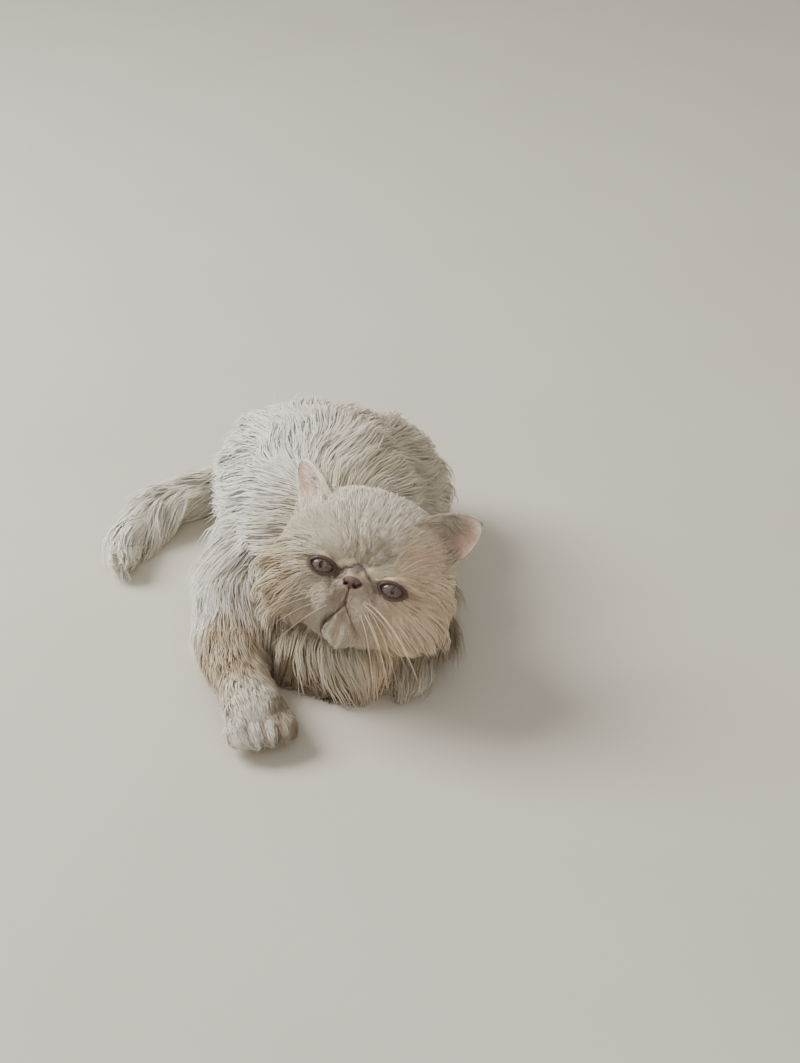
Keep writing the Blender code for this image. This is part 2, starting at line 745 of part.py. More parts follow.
def build_cores():
    """The head, ears, body, legs and tail before any is cut for its neighbours."""
    head = build_head_core()
    ears = [build_ear("ear_right", -1), build_ear("ear_left", 1)]
    body = [
        loft("torso", TORSO, 9, 16, 2.3),
        ellipsoid("neck", NECK_CENTRE, NECK_HALF, None, 22, 14),
        build_front_leg("front_leg_right", FRONT_LEG_OUT, math.radians(14)),
        build_front_leg("front_leg_left", FRONT_LEG_TUCKED, math.radians(-24)),
        build_hind_leg("hind_leg_right", -1),
        build_hind_leg("hind_leg_left", 1),
        build_tail_length("tail_base", 0, 6),
        build_tail_length("tail_middle", 6, 12),
        build_tail_length("tail_tip", 12, 18),
    ]
    for obj in body:
        cut_at_floor(obj)
    return [head, *ears, *body]


def carve(nodes):
    """Cuts each core by those before it in the list, grown by the gap, so that they meet face to face."""
    grown = {obj.name: swell(copy_of(obj), GAP) for obj in nodes}
    for i, obj in enumerate(nodes):
        near = [copy_of(grown[other.name]) for other in nodes[:i] if boxes_meet(obj, other)]
        combine(obj, near, "DIFFERENCE")
        keep_largest(obj)
    for obj in grown.values():
        bpy.data.objects.remove(obj, do_unlink=True)


def above_floor(place):
    return place.z > 0.006


def bib(place):
    return place.z > 0.012 and place.y < -0.07


def nape(place):
    return place.z > 0.012 and place.y >= -0.07


# Coats, in the order they are set: node, seed, spacing of the roots, lock length and width, coat depth,
# the way the locks lie, and where they may be rooted
COATS = (
    ("neck", 2, 0.0120, 0.054, 0.015, "neck", ruff_flow, bib),
    ("tail_tip", 5, 0.0150, 0.044, 0.016, "tail", tail_flow, above_floor),
    ("tail_middle", 4, 0.0150, 0.046, 0.016, "tail", tail_flow, above_floor),
    ("tail_base", 3, 0.0150, 0.044, 0.016, "tail", tail_flow, above_floor),
    ("hind_leg_right", 7, 0.0170, 0.044, 0.015, "hind", back_flow, lambda place: place.z > 0.02),
    ("hind_leg_left", 38, 0.0225, 0.048, 0.016, "hind", back_flow, lambda place: place.z > 0.03),
    ("torso", 6, 0.0220, 0.064, 0.018, "torso", back_flow, above_floor),
    ("front_leg_right", 9, 0.0220, 0.036, 0.014, "front", leg_flow, lambda place: place.y > -0.06),
    ("front_leg_left", 10, 0.0200, 0.032, 0.013, "front", leg_flow, lambda place: place.y > -0.04),
    ("neck", 12, 0.0150, 0.050, 0.015, "neck", ruff_flow, nape),
    ("head", 1, 0.0158, 0.034, 0.014, "head", cheek_flow, on_cheek),
)


def main():
    clear_scene()
    finishes = {
        "coat": material("cream_coat", CREAM, 0.9),
        "ear": material("ear_skin", EAR_PINK, 0.8),
        "eye": material("eye", EYE_BROWN, 0.1),
    }
    nodes = build_cores()
    carve(nodes)
    locks = grow_locks({obj.name: Skin(obj) for obj in nodes})
    draw = random.Random(SEED)
    for obj in nodes:
        if locks[obj.name]:
            set_locks(obj, locks[obj.name], draw)
    head = nodes[0]
    cutters = eye_cutters(-1) + eye_cutters(1) + [nostril_cutter(-1), nostril_cutter(1)]
    combine(head, cutters, "DIFFERENCE")
    nodes += [build_eye("eye_right", -1), build_eye("eye_left", 1)]
    centre_on_floor(nodes)
    collection = bpy.data.collections.new(OBJECT_NAME)
    bpy.context.scene.collection.children.link(collection)
    for obj in nodes:
        keep_largest(obj)
        obj.data.materials.clear()
        obj.data.materials.append(finishes.get(obj.name.split("_")[0], finishes["coat"]))
        obj.data.shade_smooth()
        bpy.context.scene.collection.objects.unlink(obj)
        collection.objects.link(obj)


main()
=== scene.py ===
# %% [markdown]
# # A cream, long-haired, flat-faced cat lying on its chest
#
# The cat lies like a sphinx that has let its head drop to one side: chest and belly on the floor,
# one foreleg stretched out, the other tucked under the ruff, and a short bushy tail curled round.
# What makes the breed is the face, almost flat, with the nose set between the eyes, and a coat so
# long that hardly any of the body's own shape shows. So the work is in two halves: a skin, with the
# face modelled on it as finely as it is seen, and then tens of thousands of tapered tufts of hair.
# Every length is in metres, the cat faces -Y, and its left side is at +X.

# %% Load the solid model, which fixes every size and place
import math

import bmesh
import bpy
import numpy as np
from mathutils import Matrix, Vector
from mathutils.bvhtree import BVHTree
from mathutils.kdtree import KDTree


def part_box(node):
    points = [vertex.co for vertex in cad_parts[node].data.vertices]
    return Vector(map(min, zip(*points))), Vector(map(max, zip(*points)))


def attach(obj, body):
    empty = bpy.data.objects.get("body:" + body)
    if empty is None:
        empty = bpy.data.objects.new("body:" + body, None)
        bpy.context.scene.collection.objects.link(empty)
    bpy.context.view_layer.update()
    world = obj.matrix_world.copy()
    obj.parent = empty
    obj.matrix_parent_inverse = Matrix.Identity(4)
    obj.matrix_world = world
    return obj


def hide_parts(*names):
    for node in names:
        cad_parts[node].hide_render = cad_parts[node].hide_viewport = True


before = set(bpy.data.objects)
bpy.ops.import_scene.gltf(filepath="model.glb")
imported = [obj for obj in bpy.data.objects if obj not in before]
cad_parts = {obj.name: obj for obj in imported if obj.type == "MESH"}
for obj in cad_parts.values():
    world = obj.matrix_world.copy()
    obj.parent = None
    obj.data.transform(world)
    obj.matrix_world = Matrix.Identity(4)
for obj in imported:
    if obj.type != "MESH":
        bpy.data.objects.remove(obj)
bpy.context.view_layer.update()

# %% [markdown]
# ## Finding the head
#
# The eyeballs of the solid model are whole balls, so the middle of a ball's box is the eyeball's own
# centre. From that one point and the three angles that the head is held at, the head gets a frame
# of its own: x to the cat's left, -y out of the face, z to the crown. The face is far easier to
# shape there, upright and symmetric, than tilted in the air.

# %% The head's frame
EYE_SPACING, EYE_DEPTH, EYE_HEIGHT = 0.0450, 0.0325, -0.0030
EYE_RADIUS = 0.0112
HEAD_YAW, HEAD_PITCH, HEAD_ROLL = -3.0, 33.0, 18.5


def turn_about(axis, degrees):
    """A 3 by 3 rotation about one axis, named x, y or z."""
    return np.array(Matrix.Rotation(math.radians(degrees), 3, axis))


HEAD_AXES = turn_about("Z", HEAD_YAW) @ turn_about("X", -HEAD_PITCH) @ turn_about("Y", HEAD_ROLL)
eye_box = np.array(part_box("eye_left"))
left_eye = eye_box.mean(axis=0)
HEAD_CENTRE = left_eye - HEAD_AXES @ (EYE_SPACING / 2, -EYE_DEPTH, EYE_HEIGHT)
# The body's rows below were measured with the head's centre at this place
SHIFT = HEAD_CENTRE - (0.0238, -0.0815, 0.0846)
print("head centre:", HEAD_CENTRE.round(4), "shift:", SHIFT.round(4))


def to_head(points):
    return (points - HEAD_CENTRE) @ HEAD_AXES


def from_head(points):
    return np.asarray(points) @ HEAD_AXES.T + HEAD_CENTRE


# %% [markdown]
# ## The face as a radius
#
# A cat's head has no overhangs, apart from the ears, so it can be written as one number for each
# direction from its centre: how far away the surface is. A superellipsoid gives the round skull.
# Forms such as the brow, the muzzle pads, the chin and the full cheeks are soft bumps added to that
# number, and the mouth, the creases and the nostrils are narrow grooves taken from it. Sculpting by
# hand would give the same face, but here each form keeps its place and size as a line in a table.

# %% The forms of the face
SKULL = dict(half_width=0.0540, top=0.0555, bottom=0.0460, front=0.0415, back=0.0480)
SQUARENESS = 2.35
NOSE_ASIDE = 0.0026
LID_THICKNESS = 0.0014
# Each form: x, z, half width, half height, how far it stands out; all are mirrored
FACE_FORMS = (
    (0.0000, 0.0230, 0.0230, 0.0150, 0.0028),  # forehead
    (0.0215, 0.0095, 0.0110, 0.0050, 0.0030),  # brow over each eye
    (0.0000, 0.0055, 0.0048, 0.0040, -0.0048),  # hollow above the nose
    (0.0000, -0.0062, 0.0058, 0.0042, 0.0056),  # nose
    (0.0095, -0.0030, 0.0028, 0.0055, -0.0030),  # hollow beside the nose
    (0.0105, -0.0205, 0.0095, 0.0095, 0.0078),  # muzzle pad
    (0.0000, -0.0375, 0.0085, 0.0060, 0.0085),  # chin
    (0.0390, -0.0190, 0.0170, 0.0160, 0.0090),  # cheek
    (0.0042, -0.0068, 0.0016, 0.0018, 0.0011),  # wing of the nostril
    (0.0000, -0.0028, 0.0040, 0.0012, 0.0009),  # upper edge of the nose leather
    (0.0026, -0.0292, 0.0040, 0.0016, 0.0012),  # lower lip
)
# Each groove: from x, z to x, z, half width, depth; all are mirrored
FACE_GROOVES = (
    (0.0000, -0.0100, 0.0000, -0.0190, 0.0006, 0.0022),  # philtrum
    (0.0000, -0.0190, 0.0050, -0.0258, 0.0008, 0.0042),  # mouth
    (0.0050, -0.0258, 0.0108, -0.0345, 0.0008, 0.0040),
    (0.0022, -0.0080, 0.0034, -0.0084, 0.0007, 0.0034),  # nostril
    (0.0034, -0.0084, 0.0052, -0.0070, 0.0005, 0.0016),
    (0.0132, -0.0028, 0.0046, 0.0026, 0.0009, 0.0014),  # crease from the eye over the nose
    (0.0122, -0.0058, 0.0088, -0.0130, 0.0011, 0.0013),  # tear groove
    (0.0030, 0.0100, 0.0080, 0.0200, 0.0012, 0.0012),  # furrows of the brow
    (0.0085, 0.0085, 0.0155, 0.0165, 0.0011, 0.0009),
)
# The eyelids' almond opening, in the eye's own frame: half width, half heights up and down
OPENING = (0.0084, 0.0046, 0.0053)


def smooth_step(low, high, value):
    """0 below low and 1 above high, with an even S between them."""
    t = np.clip((value - low) / (high - low), 0, 1)
    return t * t * (3 - 2 * t)


def bump(x, z, cx, cz, rx, rz):
    """A bell of height 1 at cx, cz that falls to a third at rx and rz from it."""
    return np.exp(-(((x - cx) / rx) ** 2) - ((z - cz) / rz) ** 2)


def along_line(x, z, ax, az, bx, bz, width):
    """1 on the line from a to b, falling off as a bell of that width to both sides."""
    dx, dz = bx - ax, bz - az
    t = np.clip(((x - ax) * dx + (z - az) * dz) / (dx * dx + dz * dz), 0, 1)
    away = (x - ax - t * dx) ** 2 + (z - az - t * dz) ** 2
    return np.exp(-away / width**2)


def almond(a, b):
    """Below 1 inside the opening of the lids: two arcs, the lower one rounder, that meet in corners."""
    width, up, down = OPENING
    high = np.where(b > 0, up, down)
    return np.abs(a / width) ** 1.7 + np.abs(b / high) ** 1.9


def skull_radius(directions):
    """The distance at which |x/a|^p + |y/b|^p + |z/c|^p = 1 along each direction."""
    x, y, z = directions.T
    depth = np.where(y < 0, SKULL["front"], SKULL["back"])
    rise = np.where(z > 0, SKULL["top"], SKULL["bottom"])
    p = SQUARENESS
    return (np.abs(x / SKULL["half_width"]) ** p + np.abs(y / depth) ** p + np.abs(z / rise) ** p) ** (-1 / p)


def face_depth(side, y, z):
    """How far the skin lies under the solid head: nothing at nose, lips and lids, more to the back."""
    from_nose = np.hypot(side * 0.9, z + 0.010)
    face = 0.0006 + 0.0030 * smooth_step(0.014, 0.044, from_nose)
    return np.where(y < 0, face, 0.0036) + 0.0020 * smooth_step(-0.015, 0.015, y)


def straight_x(x, z):
    """No face is quite even: this one's nose and mouth sit a little to its right. x without that shift."""
    return x + NOSE_ASIDE * bump(x, z, 0.0, -0.011, 0.011, 0.013)


def head_radius(directions):
    """The skull, plus the forms, less the grooves, with the lids laid over the eyeballs and opened."""
    radius = skull_radius(directions)
    y, z = directions[:, 1] * radius, directions[:, 2] * radius
    side = np.abs(straight_x(directions[:, 0] * radius, z))
    front = np.clip(-y / 0.02, 0, 1)
    for cx, cz, rx, rz, height in FACE_FORMS:
        radius = radius + front * height * bump(side, z, cx, cz, rx, rz)
    radius = radius - face_depth(side, y, z)
    for ax, az, bx, bz, width, depth in FACE_GROOVES:
        radius = radius - front * depth * along_line(side, z, ax, az, bx, bz, width)
    centre = np.array([EYE_SPACING / 2, -EYE_DEPTH, EYE_HEIGHT])
    folded = np.abs(directions[:, 0]) * centre[0] + directions[:, 1:] @ centre[1:]
    inside = folded**2 - centre @ centre + (EYE_RADIUS + LID_THICKNESS) ** 2
    lid = np.where(inside > 0, folded + np.sqrt(np.maximum(inside, 0)), 0)
    soft = 0.0012
    covered = np.where(lid > 0, 0.5 * (radius + lid + np.sqrt((radius - lid) ** 2 + soft**2)), radius)
    across = np.abs(directions[:, 0]) * covered - centre[0]
    upward = directions[:, 2] * covered - centre[2]
    open_share = smooth_step(1.12, 0.96, almond(across, upward)) * (lid > 0)
    return covered + (lid - 0.0034 - covered) * open_share


# %% [markdown]
# ## One grid of directions, finest on the face
#
# The directions form a grid round the axis that points out of the face: one parameter is the angle
# from that axis, the other goes round it. The rings are set closer near the axis, so that the nose,
# the lids and the mouth get a point about every half millimetre and the back of the skull far fewer.

# %% The head's surface


def grid_faces(rows, columns, closed):
    """Quads between neighbouring rows and columns of a grid; closed joins the last column to the first."""
    i, j = np.meshgrid(np.arange(rows - 1), np.arange(columns if closed else columns - 1), indexing="ij")
    k = (j + 1) % columns
    quads = np.stack([i * columns + j, i * columns + k, (i + 1) * columns + k, (i + 1) * columns + j], -1)
    return quads.reshape(-1, 4)


def new_mesh(name, points, faces):
    """A mesh from arrays, with its faces turned outwards."""
    mesh = bpy.data.meshes.new(name)
    mesh.from_pydata(np.asarray(points, float), [], faces)
    work = bmesh.new()
    work.from_mesh(mesh)
    bmesh.ops.remove_doubles(work, verts=work.verts, dist=1e-7)
    bmesh.ops.recalc_face_normals(work, faces=work.faces)
    work.to_mesh(mesh)
    work.free()
    return mesh


def new_piece(name, mesh):
    piece = bpy.data.objects.new(name, mesh)
    bpy.context.scene.collection.objects.link(piece)
    return piece


def head_mesh(rings=120, segments=300):
    """Directions at an angle from the face's axis of pi(0.45t + 0.55t^2.4), each as long as the radius."""
    t = (np.arange(rings) + 0.5) / rings
    polar = math.pi * (0.45 * t + 0.55 * t**2.4)
    turn = np.arange(segments) * 2 * math.pi / segments
    polar, turn = np.meshgrid(polar, turn, indexing="ij")
    directions = np.stack(
        [np.sin(polar) * np.cos(turn), -np.cos(polar), np.sin(polar) * np.sin(turn)], axis=-1
    ).reshape(-1, 3)
    poles = np.array([[0.0, -1.0, 0.0], [0.0, 1.0, 0.0]])
    directions = np.vstack([directions, poles])
    points = directions * head_radius(directions)[:, None]
    quads = [tuple(face) for face in grid_faces(rings, segments, True).tolist()]
    first, last = rings * segments, rings * segments + 1
    ring = np.arange(segments)
    following = (ring + 1) % segments
    fans = [(first, b, a) for a, b in zip(ring.tolist(), following.tolist())]
    base = (rings - 1) * segments
    fans += [(last, base + a, base + b) for a, b in zip(ring.tolist(), following.tolist())]
    return new_mesh("head_skin", from_head(points), quads + fans)


head_piece = new_piece("head_skin", head_mesh())
print("head skin:", len(head_piece.data.polygons), "faces")

# %% [markdown]
# ## The body as tubes and balls
#
# Under a long coat the body can be simple: the trunk, the legs and the tail are tubes carried along
# a path, and the neck and the thighs are ellipsoids. Each tube is given by a few rows of place, half
# width and half height, and a Catmull-Rom curve through the rows fills in the rest. These are the
# rows of the solid model's cores, drawn in by the depth of the dense woolly undercoat.

# %% Rows of the body: x, y, z, half width, half height
TORSO = (
    (0.006, -0.052, 0.040, 0.036, 0.034),
    (0.004, -0.025, 0.052, 0.050, 0.054),
    (0.000, 0.005, 0.060, 0.056, 0.064),
    (-0.006, 0.035, 0.060, 0.058, 0.066),
    (-0.011, 0.065, 0.056, 0.057, 0.062),
    (-0.015, 0.095, 0.049, 0.054, 0.055),
    (-0.018, 0.120, 0.040, 0.045, 0.044),
    (-0.020, 0.138, 0.032, 0.030, 0.030),
)
FORELEG_OUT = (
    (-0.050, -0.008, 0.042, 0.026, 0.030),
    (-0.062, -0.030, 0.028, 0.024, 0.026),
    (-0.061, -0.080, 0.021, 0.0175, 0.019),
    (-0.050, -0.118, 0.018, 0.0175, 0.016),
    (-0.042, -0.140, 0.017, 0.0205, 0.016),
)
FORELEG_TUCKED = (
    (0.048, -0.002, 0.042, 0.022, 0.028),
    (0.059, -0.018, 0.026, 0.020, 0.024),
    (0.060, -0.040, 0.019, 0.018, 0.018),
    (0.056, -0.060, 0.017, 0.018, 0.016),
    (0.049, -0.072, 0.016, 0.019, 0.015),
)
HIND_FOOT_RIGHT = (
    (-0.056, 0.082, 0.016, 0.016, 0.016),
    (-0.061, 0.060, 0.015, 0.014, 0.014),
    (-0.062, 0.040, 0.014, 0.017, 0.014),
)
HIND_FOOT_LEFT = (
    (0.056, 0.076, 0.016, 0.016, 0.016),
    (0.063, 0.054, 0.015, 0.014, 0.014),
    (0.066, 0.032, 0.014, 0.017, 0.014),
)
TAIL = (
    (-0.019, 0.134, 0.032, 0.014, 0.014),
    (-0.048, 0.156, 0.022, 0.013, 0.013),
    (-0.084, 0.150, 0.017, 0.013, 0.013),
    (-0.118, 0.128, 0.016, 0.014, 0.013),
    (-0.142, 0.092, 0.015, 0.013, 0.013),
    (-0.150, 0.052, 0.014, 0.009, 0.009),
)
# Ellipsoids: centre, half sizes, turn about z in degrees
NECK = ((0.016, -0.057, 0.040), (0.054, 0.050, 0.068), 0.0)
THIGH_RIGHT = ((-0.047, 0.088, 0.042), (0.026, 0.046, 0.042), 8.0)
THIGH_LEFT = ((0.039, 0.086, 0.042), (0.038, 0.054, 0.042), -10.0)
# The loose skin of the flank, which bridges the valley between trunk and thigh
FLANK_LEFT = ((0.026, 0.076, 0.058), (0.040, 0.058, 0.045), -10.0)
# How far under the solid model's cores the skin lies
UNDERCOAT = dict(torso=0.0042, neck=0.0075, foreleg=0.0030, foot=0.0020, thigh=0.0042, tail=0.0060)
FLOOR_SKIN = 0.0012


def smooth_rows(rows, count):
    """count rows read at even steps from the Catmull-Rom curve through the given rows."""
    rows = np.array(rows, float)
    padded = np.vstack([2 * rows[0] - rows[1], rows, 2 * rows[-1] - rows[-2]])
    at = np.linspace(0, len(rows) - 1, count)
    i = np.minimum(at.astype(int), len(rows) - 2)
    t = (at - i)[:, None]
    a, b, c, d = (padded[i + k] for k in range(4))
    return 0.5 * (2 * b + (c - a) * t + (2 * a - 5 * b + 4 * c - d) * t**2 + (3 * b - a - 3 * c + d) * t**3)


def path_of(rows, count, under):
    """Smooth rows in the cat's place in the scene, drawn in by the undercoat."""
    path = smooth_rows(rows, count)
    path[:, :3] += SHIFT
    path[:, 3:5] -= under
    return path


PATHS = {
    "torso": path_of(TORSO, 60, UNDERCOAT["torso"]),
    "foreleg_out": path_of(FORELEG_OUT, 50, UNDERCOAT["foreleg"]),
    "foreleg_tucked": path_of(FORELEG_TUCKED, 40, UNDERCOAT["foreleg"]),
    "foot_right": path_of(HIND_FOOT_RIGHT, 24, UNDERCOAT["foot"]),
    "foot_left": path_of(HIND_FOOT_LEFT, 24, UNDERCOAT["foot"]),
    "tail": path_of(TAIL, 60, UNDERCOAT["tail"]),
}
BALLS = {
    "neck": (NECK, UNDERCOAT["neck"]),
    "thigh_right": (THIGH_RIGHT, UNDERCOAT["thigh"]),
    "thigh_left": (THIGH_LEFT, UNDERCOAT["thigh"]),
    "flank_left": (FLANK_LEFT, UNDERCOAT["thigh"]),
}


def tube(path, sides, squareness=2.0):
    """A ring of |cos|^(2/p), |sin|^(2/p) at each row, square to the path, with rounded closing rings."""
    centre, width, height = path[:, :3], path[:, 3], path[:, 4]
    along = np.gradient(centre, axis=0)
    along /= np.linalg.norm(along, axis=1)[:, None]
    across = np.cross(along, (0.0, 0.0, 1.0))
    across /= np.linalg.norm(across, axis=1)[:, None]
    upward = np.cross(across, along)
    angle = np.arange(sides) * 2 * math.pi / sides
    ring_x = np.sign(np.cos(angle)) * np.abs(np.cos(angle)) ** (2 / squareness)
    ring_z = np.sign(np.sin(angle)) * np.abs(np.sin(angle)) ** (2 / squareness)
    cap = np.sin(np.linspace(0, math.pi / 2, 6, endpoint=False))
    shrink = np.sqrt(1 - cap**2)
    before = centre[:1] - along[:1] * height[0] * 0.7 * cap[::-1, None]
    after = centre[-1:] + along[-1:] * height[-1] * 0.7 * cap[:, None]
    index = np.concatenate([np.zeros(6, int), np.arange(len(path)), np.full(6, len(path) - 1)])
    middle = np.vstack([before, centre, after])
    scale = np.concatenate([shrink[::-1], np.ones(len(path)), shrink])[:, None]
    grid = (
        middle[:, None]
        + (width[index][:, None] * ring_x * scale)[..., None] * across[index][:, None]
        + (height[index][:, None] * ring_z * scale)[..., None] * upward[index][:, None]
    )
    rows = len(middle)
    tips = np.vstack([centre[0] - along[0] * height[0] * 0.7, centre[-1] + along[-1] * height[-1] * 0.7])
    points = np.vstack([grid.reshape(-1, 3), tips])
    ring = np.arange(sides)
    after_ring = (ring + 1) % sides
    base = (rows - 1) * sides
    fans = [(rows * sides, b, a) for a, b in zip(ring.tolist(), after_ring.tolist())]
    fans += [(rows * sides + 1, base + a, base + b) for a, b in zip(ring.tolist(), after_ring.tolist())]
    return points, [tuple(face) for face in grid_faces(rows, sides, True).tolist()] + fans


def ball(centre, half_sizes, degrees, rings=40, segments=64):
    """A sphere's grid of latitude and longitude, stretched, turned about z and moved."""
    polar = (np.arange(rings) + 0.5) * math.pi / rings
    turn = np.arange(segments) * 2 * math.pi / segments
    polar, turn = np.meshgrid(polar, turn, indexing="ij")
    sphere = np.stack([np.sin(polar) * np.cos(turn), np.sin(polar) * np.sin(turn), np.cos(polar)], axis=-1)
    sphere = np.vstack([sphere.reshape(-1, 3), [[0, 0, 1], [0, 0, -1]]])
    points = (sphere * half_sizes) @ turn_about("Z", degrees).T + centre
    ring = np.arange(segments)
    after_ring = (ring + 1) % segments
    base = (rings - 1) * segments
    fans = [(rings * segments, a, b) for a, b in zip(ring.tolist(), after_ring.tolist())]
    fans += [(rings * segments + 1, base + b, base + a) for a, b in zip(ring.tolist(), after_ring.tolist())]
    return points, [tuple(face) for face in grid_faces(rings, segments, True).tolist()] + fans


def toes(path, heading, width, size):
    """Four balls side by side across the front of a paw, the middle two a little ahead."""
    made = []
    turn = turn_about("Z", heading)
    ahead = turn @ np.array([0, -0.011, -0.003])
    for share in (-1.5, -0.5, 0.5, 1.5):
        offset = turn @ np.array([share * width / 3.6, -0.0035 * (1.5 - abs(share)), 0.0])
        made.append(ball(path[-1, :3] + ahead + offset, (size, size * 1.6, size * 1.15), heading, 20, 28))
    return made


# %% [markdown]
# ## One skin
#
# Where a leg meets the trunk real skin runs over without a seam. A voxel remesh gives that: it pours
# a grid of cubes over all the tubes and balls at once and keeps one outer surface, which a few
# rounds of smoothing then relax. The head keeps its own finer grid, because cubes as small as the
# face needs would give the whole cat millions of them, and a Boolean union joins the two. The line
# of that joint runs under the thickest part of the ruff.

# %% Body and head as one surface
BODY_VOXEL = 0.0018


def apply_modifiers(piece):
    """Replaces the piece's mesh with what its modifiers make of it."""
    graph = bpy.context.evaluated_depsgraph_get()
    graph.update()
    mesh = bpy.data.meshes.new_from_object(piece.evaluated_get(graph))
    piece.modifiers.clear()
    piece.data = mesh


def joined(parts):
    """Several (points, faces) as one, the faces counted on."""
    points, faces, start = [], [], 0
    for part_points, part_faces in parts:
        points.append(part_points)
        faces += [tuple(start + i for i in face) for face in part_faces]
        start += len(part_points)
    return np.vstack(points), faces


body_parts = [tube(PATHS["torso"], 72, 2.3)]
body_parts += [tube(PATHS[name], 40) for name in PATHS if name != "torso"]
for (centre, half_sizes, degrees), under in BALLS.values():
    body_parts.append(ball(np.array(centre) + SHIFT, np.array(half_sizes) - under, degrees))
body_parts += toes(PATHS["foreleg_out"], 14, 0.035, 0.0072)
body_parts += toes(PATHS["foreleg_tucked"], -24, 0.035, 0.0072)
body_parts += toes(PATHS["foot_right"], 0, 0.031, 0.0066)
body_parts += toes(PATHS["foot_left"], 0, 0.031, 0.0066)
skin = new_piece("skin", new_mesh("skin", *joined(body_parts)))
remesh = skin.modifiers.new("one surface", "REMESH")
remesh.mode = "VOXEL"
remesh.voxel_size = BODY_VOXEL
relax = skin.modifiers.new("relax", "SMOOTH")
relax.factor = 0.5
relax.iterations = 5
apply_modifiers(skin)
places = np.empty(len(skin.data.vertices) * 3)
skin.data.vertices.foreach_get("co", places)
places = places.reshape(-1, 3)
places[:, 2] = np.maximum(places[:, 2], FLOOR_SKIN)
skin.data.vertices.foreach_set("co", places.ravel())
union = skin.modifiers.new("head", "BOOLEAN")
union.operation = "UNION"
union.object = head_piece
union.solver = "MANIFOLD"
apply_modifiers(skin)
bpy.data.objects.remove(head_piece, do_unlink=True)
skin.data.shade_smooth()
print("skin:", len(skin.data.polygons), "faces")

# %% [markdown]
# ## Where each kind of coat grows
#
# Length, lie and colour of the hair change from place to place. So each point of the skin gets a
# share in every part of the body: the nearer it is to a part's own shape, the larger the share, with
# a soft change between neighbours. Any quantity of the coat is then a table with one number per
# part, blended by these shares.

# %% Shares of the parts at any point
PART_NAMES = ("head", "neck", "torso", "foreleg", "paw", "thigh", "foot", "tail")
BLEND_WIDTH = 0.005


def distance_to_path(points, path):
    """The least distance to a row of the path, less that row's mean radius, and the row's number."""
    gap = np.linalg.norm(points[:, None] - path[None, :, :3], axis=2) - path[None, :, 3:5].mean(axis=2)
    row = gap.argmin(axis=1)
    return gap[np.arange(len(points)), row], row


def distance_to_ball(points, name):
    """(|p/r| - 1) times the mean radius, which is near the true distance close to the surface."""
    (centre, half_sizes, degrees), under = BALLS[name]
    radii = np.array(half_sizes) - under
    local = (points - SHIFT - centre) @ turn_about("Z", degrees)
    return (np.linalg.norm(local / radii, axis=1) - 1) * radii.mean()


def distance_to_head(points):
    local = to_head(points)
    length = np.linalg.norm(local, axis=1)
    return length - skull_radius(local / length[:, None])


def shares(points):
    """A row per point and a column per part; each row adds up to 1."""
    out, out_row = distance_to_path(points, PATHS["foreleg_out"])
    tucked, tucked_row = distance_to_path(points, PATHS["foreleg_tucked"])
    foot = np.minimum(
        distance_to_path(points, PATHS["foot_right"])[0], distance_to_path(points, PATHS["foot_left"])[0]
    )
    foreleg = np.minimum(out, tucked)
    at_paw = np.where(out < tucked, out_row / 50, tucked_row / 40) > 0.84
    gaps = np.stack(
        [
            distance_to_head(points) - 0.004,
            distance_to_ball(points, "neck"),
            distance_to_path(points, PATHS["torso"])[0],
            np.where(at_paw, foreleg + 0.02, foreleg),
            np.where(at_paw, foreleg, foreleg + 0.02),
            np.minimum(distance_to_ball(points, "thigh_right"), distance_to_ball(points, "thigh_left")),
            foot,
            distance_to_path(points, PATHS["tail"])[0],
        ],
        axis=1,
    )
    weight = np.exp(-(gaps - gaps.min(axis=1, keepdims=True)) / BLEND_WIDTH)
    return weight / weight.sum(axis=1, keepdims=True)

# %% [markdown]
# ## Eyes
#
# A cat's eyeball shows three surfaces at once: the wet clear cornea that bulges a little, the iris
# under it with its fibres running in towards the pupil, and the dark slit of the pupil. One closed
# ball does for all three here: its front swells into the cornea, a clear coat gives the wet shine,
# and the iris is painted in the piece's own UV map, a flat front view of the eye with the pupil's
# middle at its centre. The lids hide the rest of the ball.

# %% The eyeballs
CORNEA_ANGLE = math.radians(40)
CORNEA_RISE = 0.0011


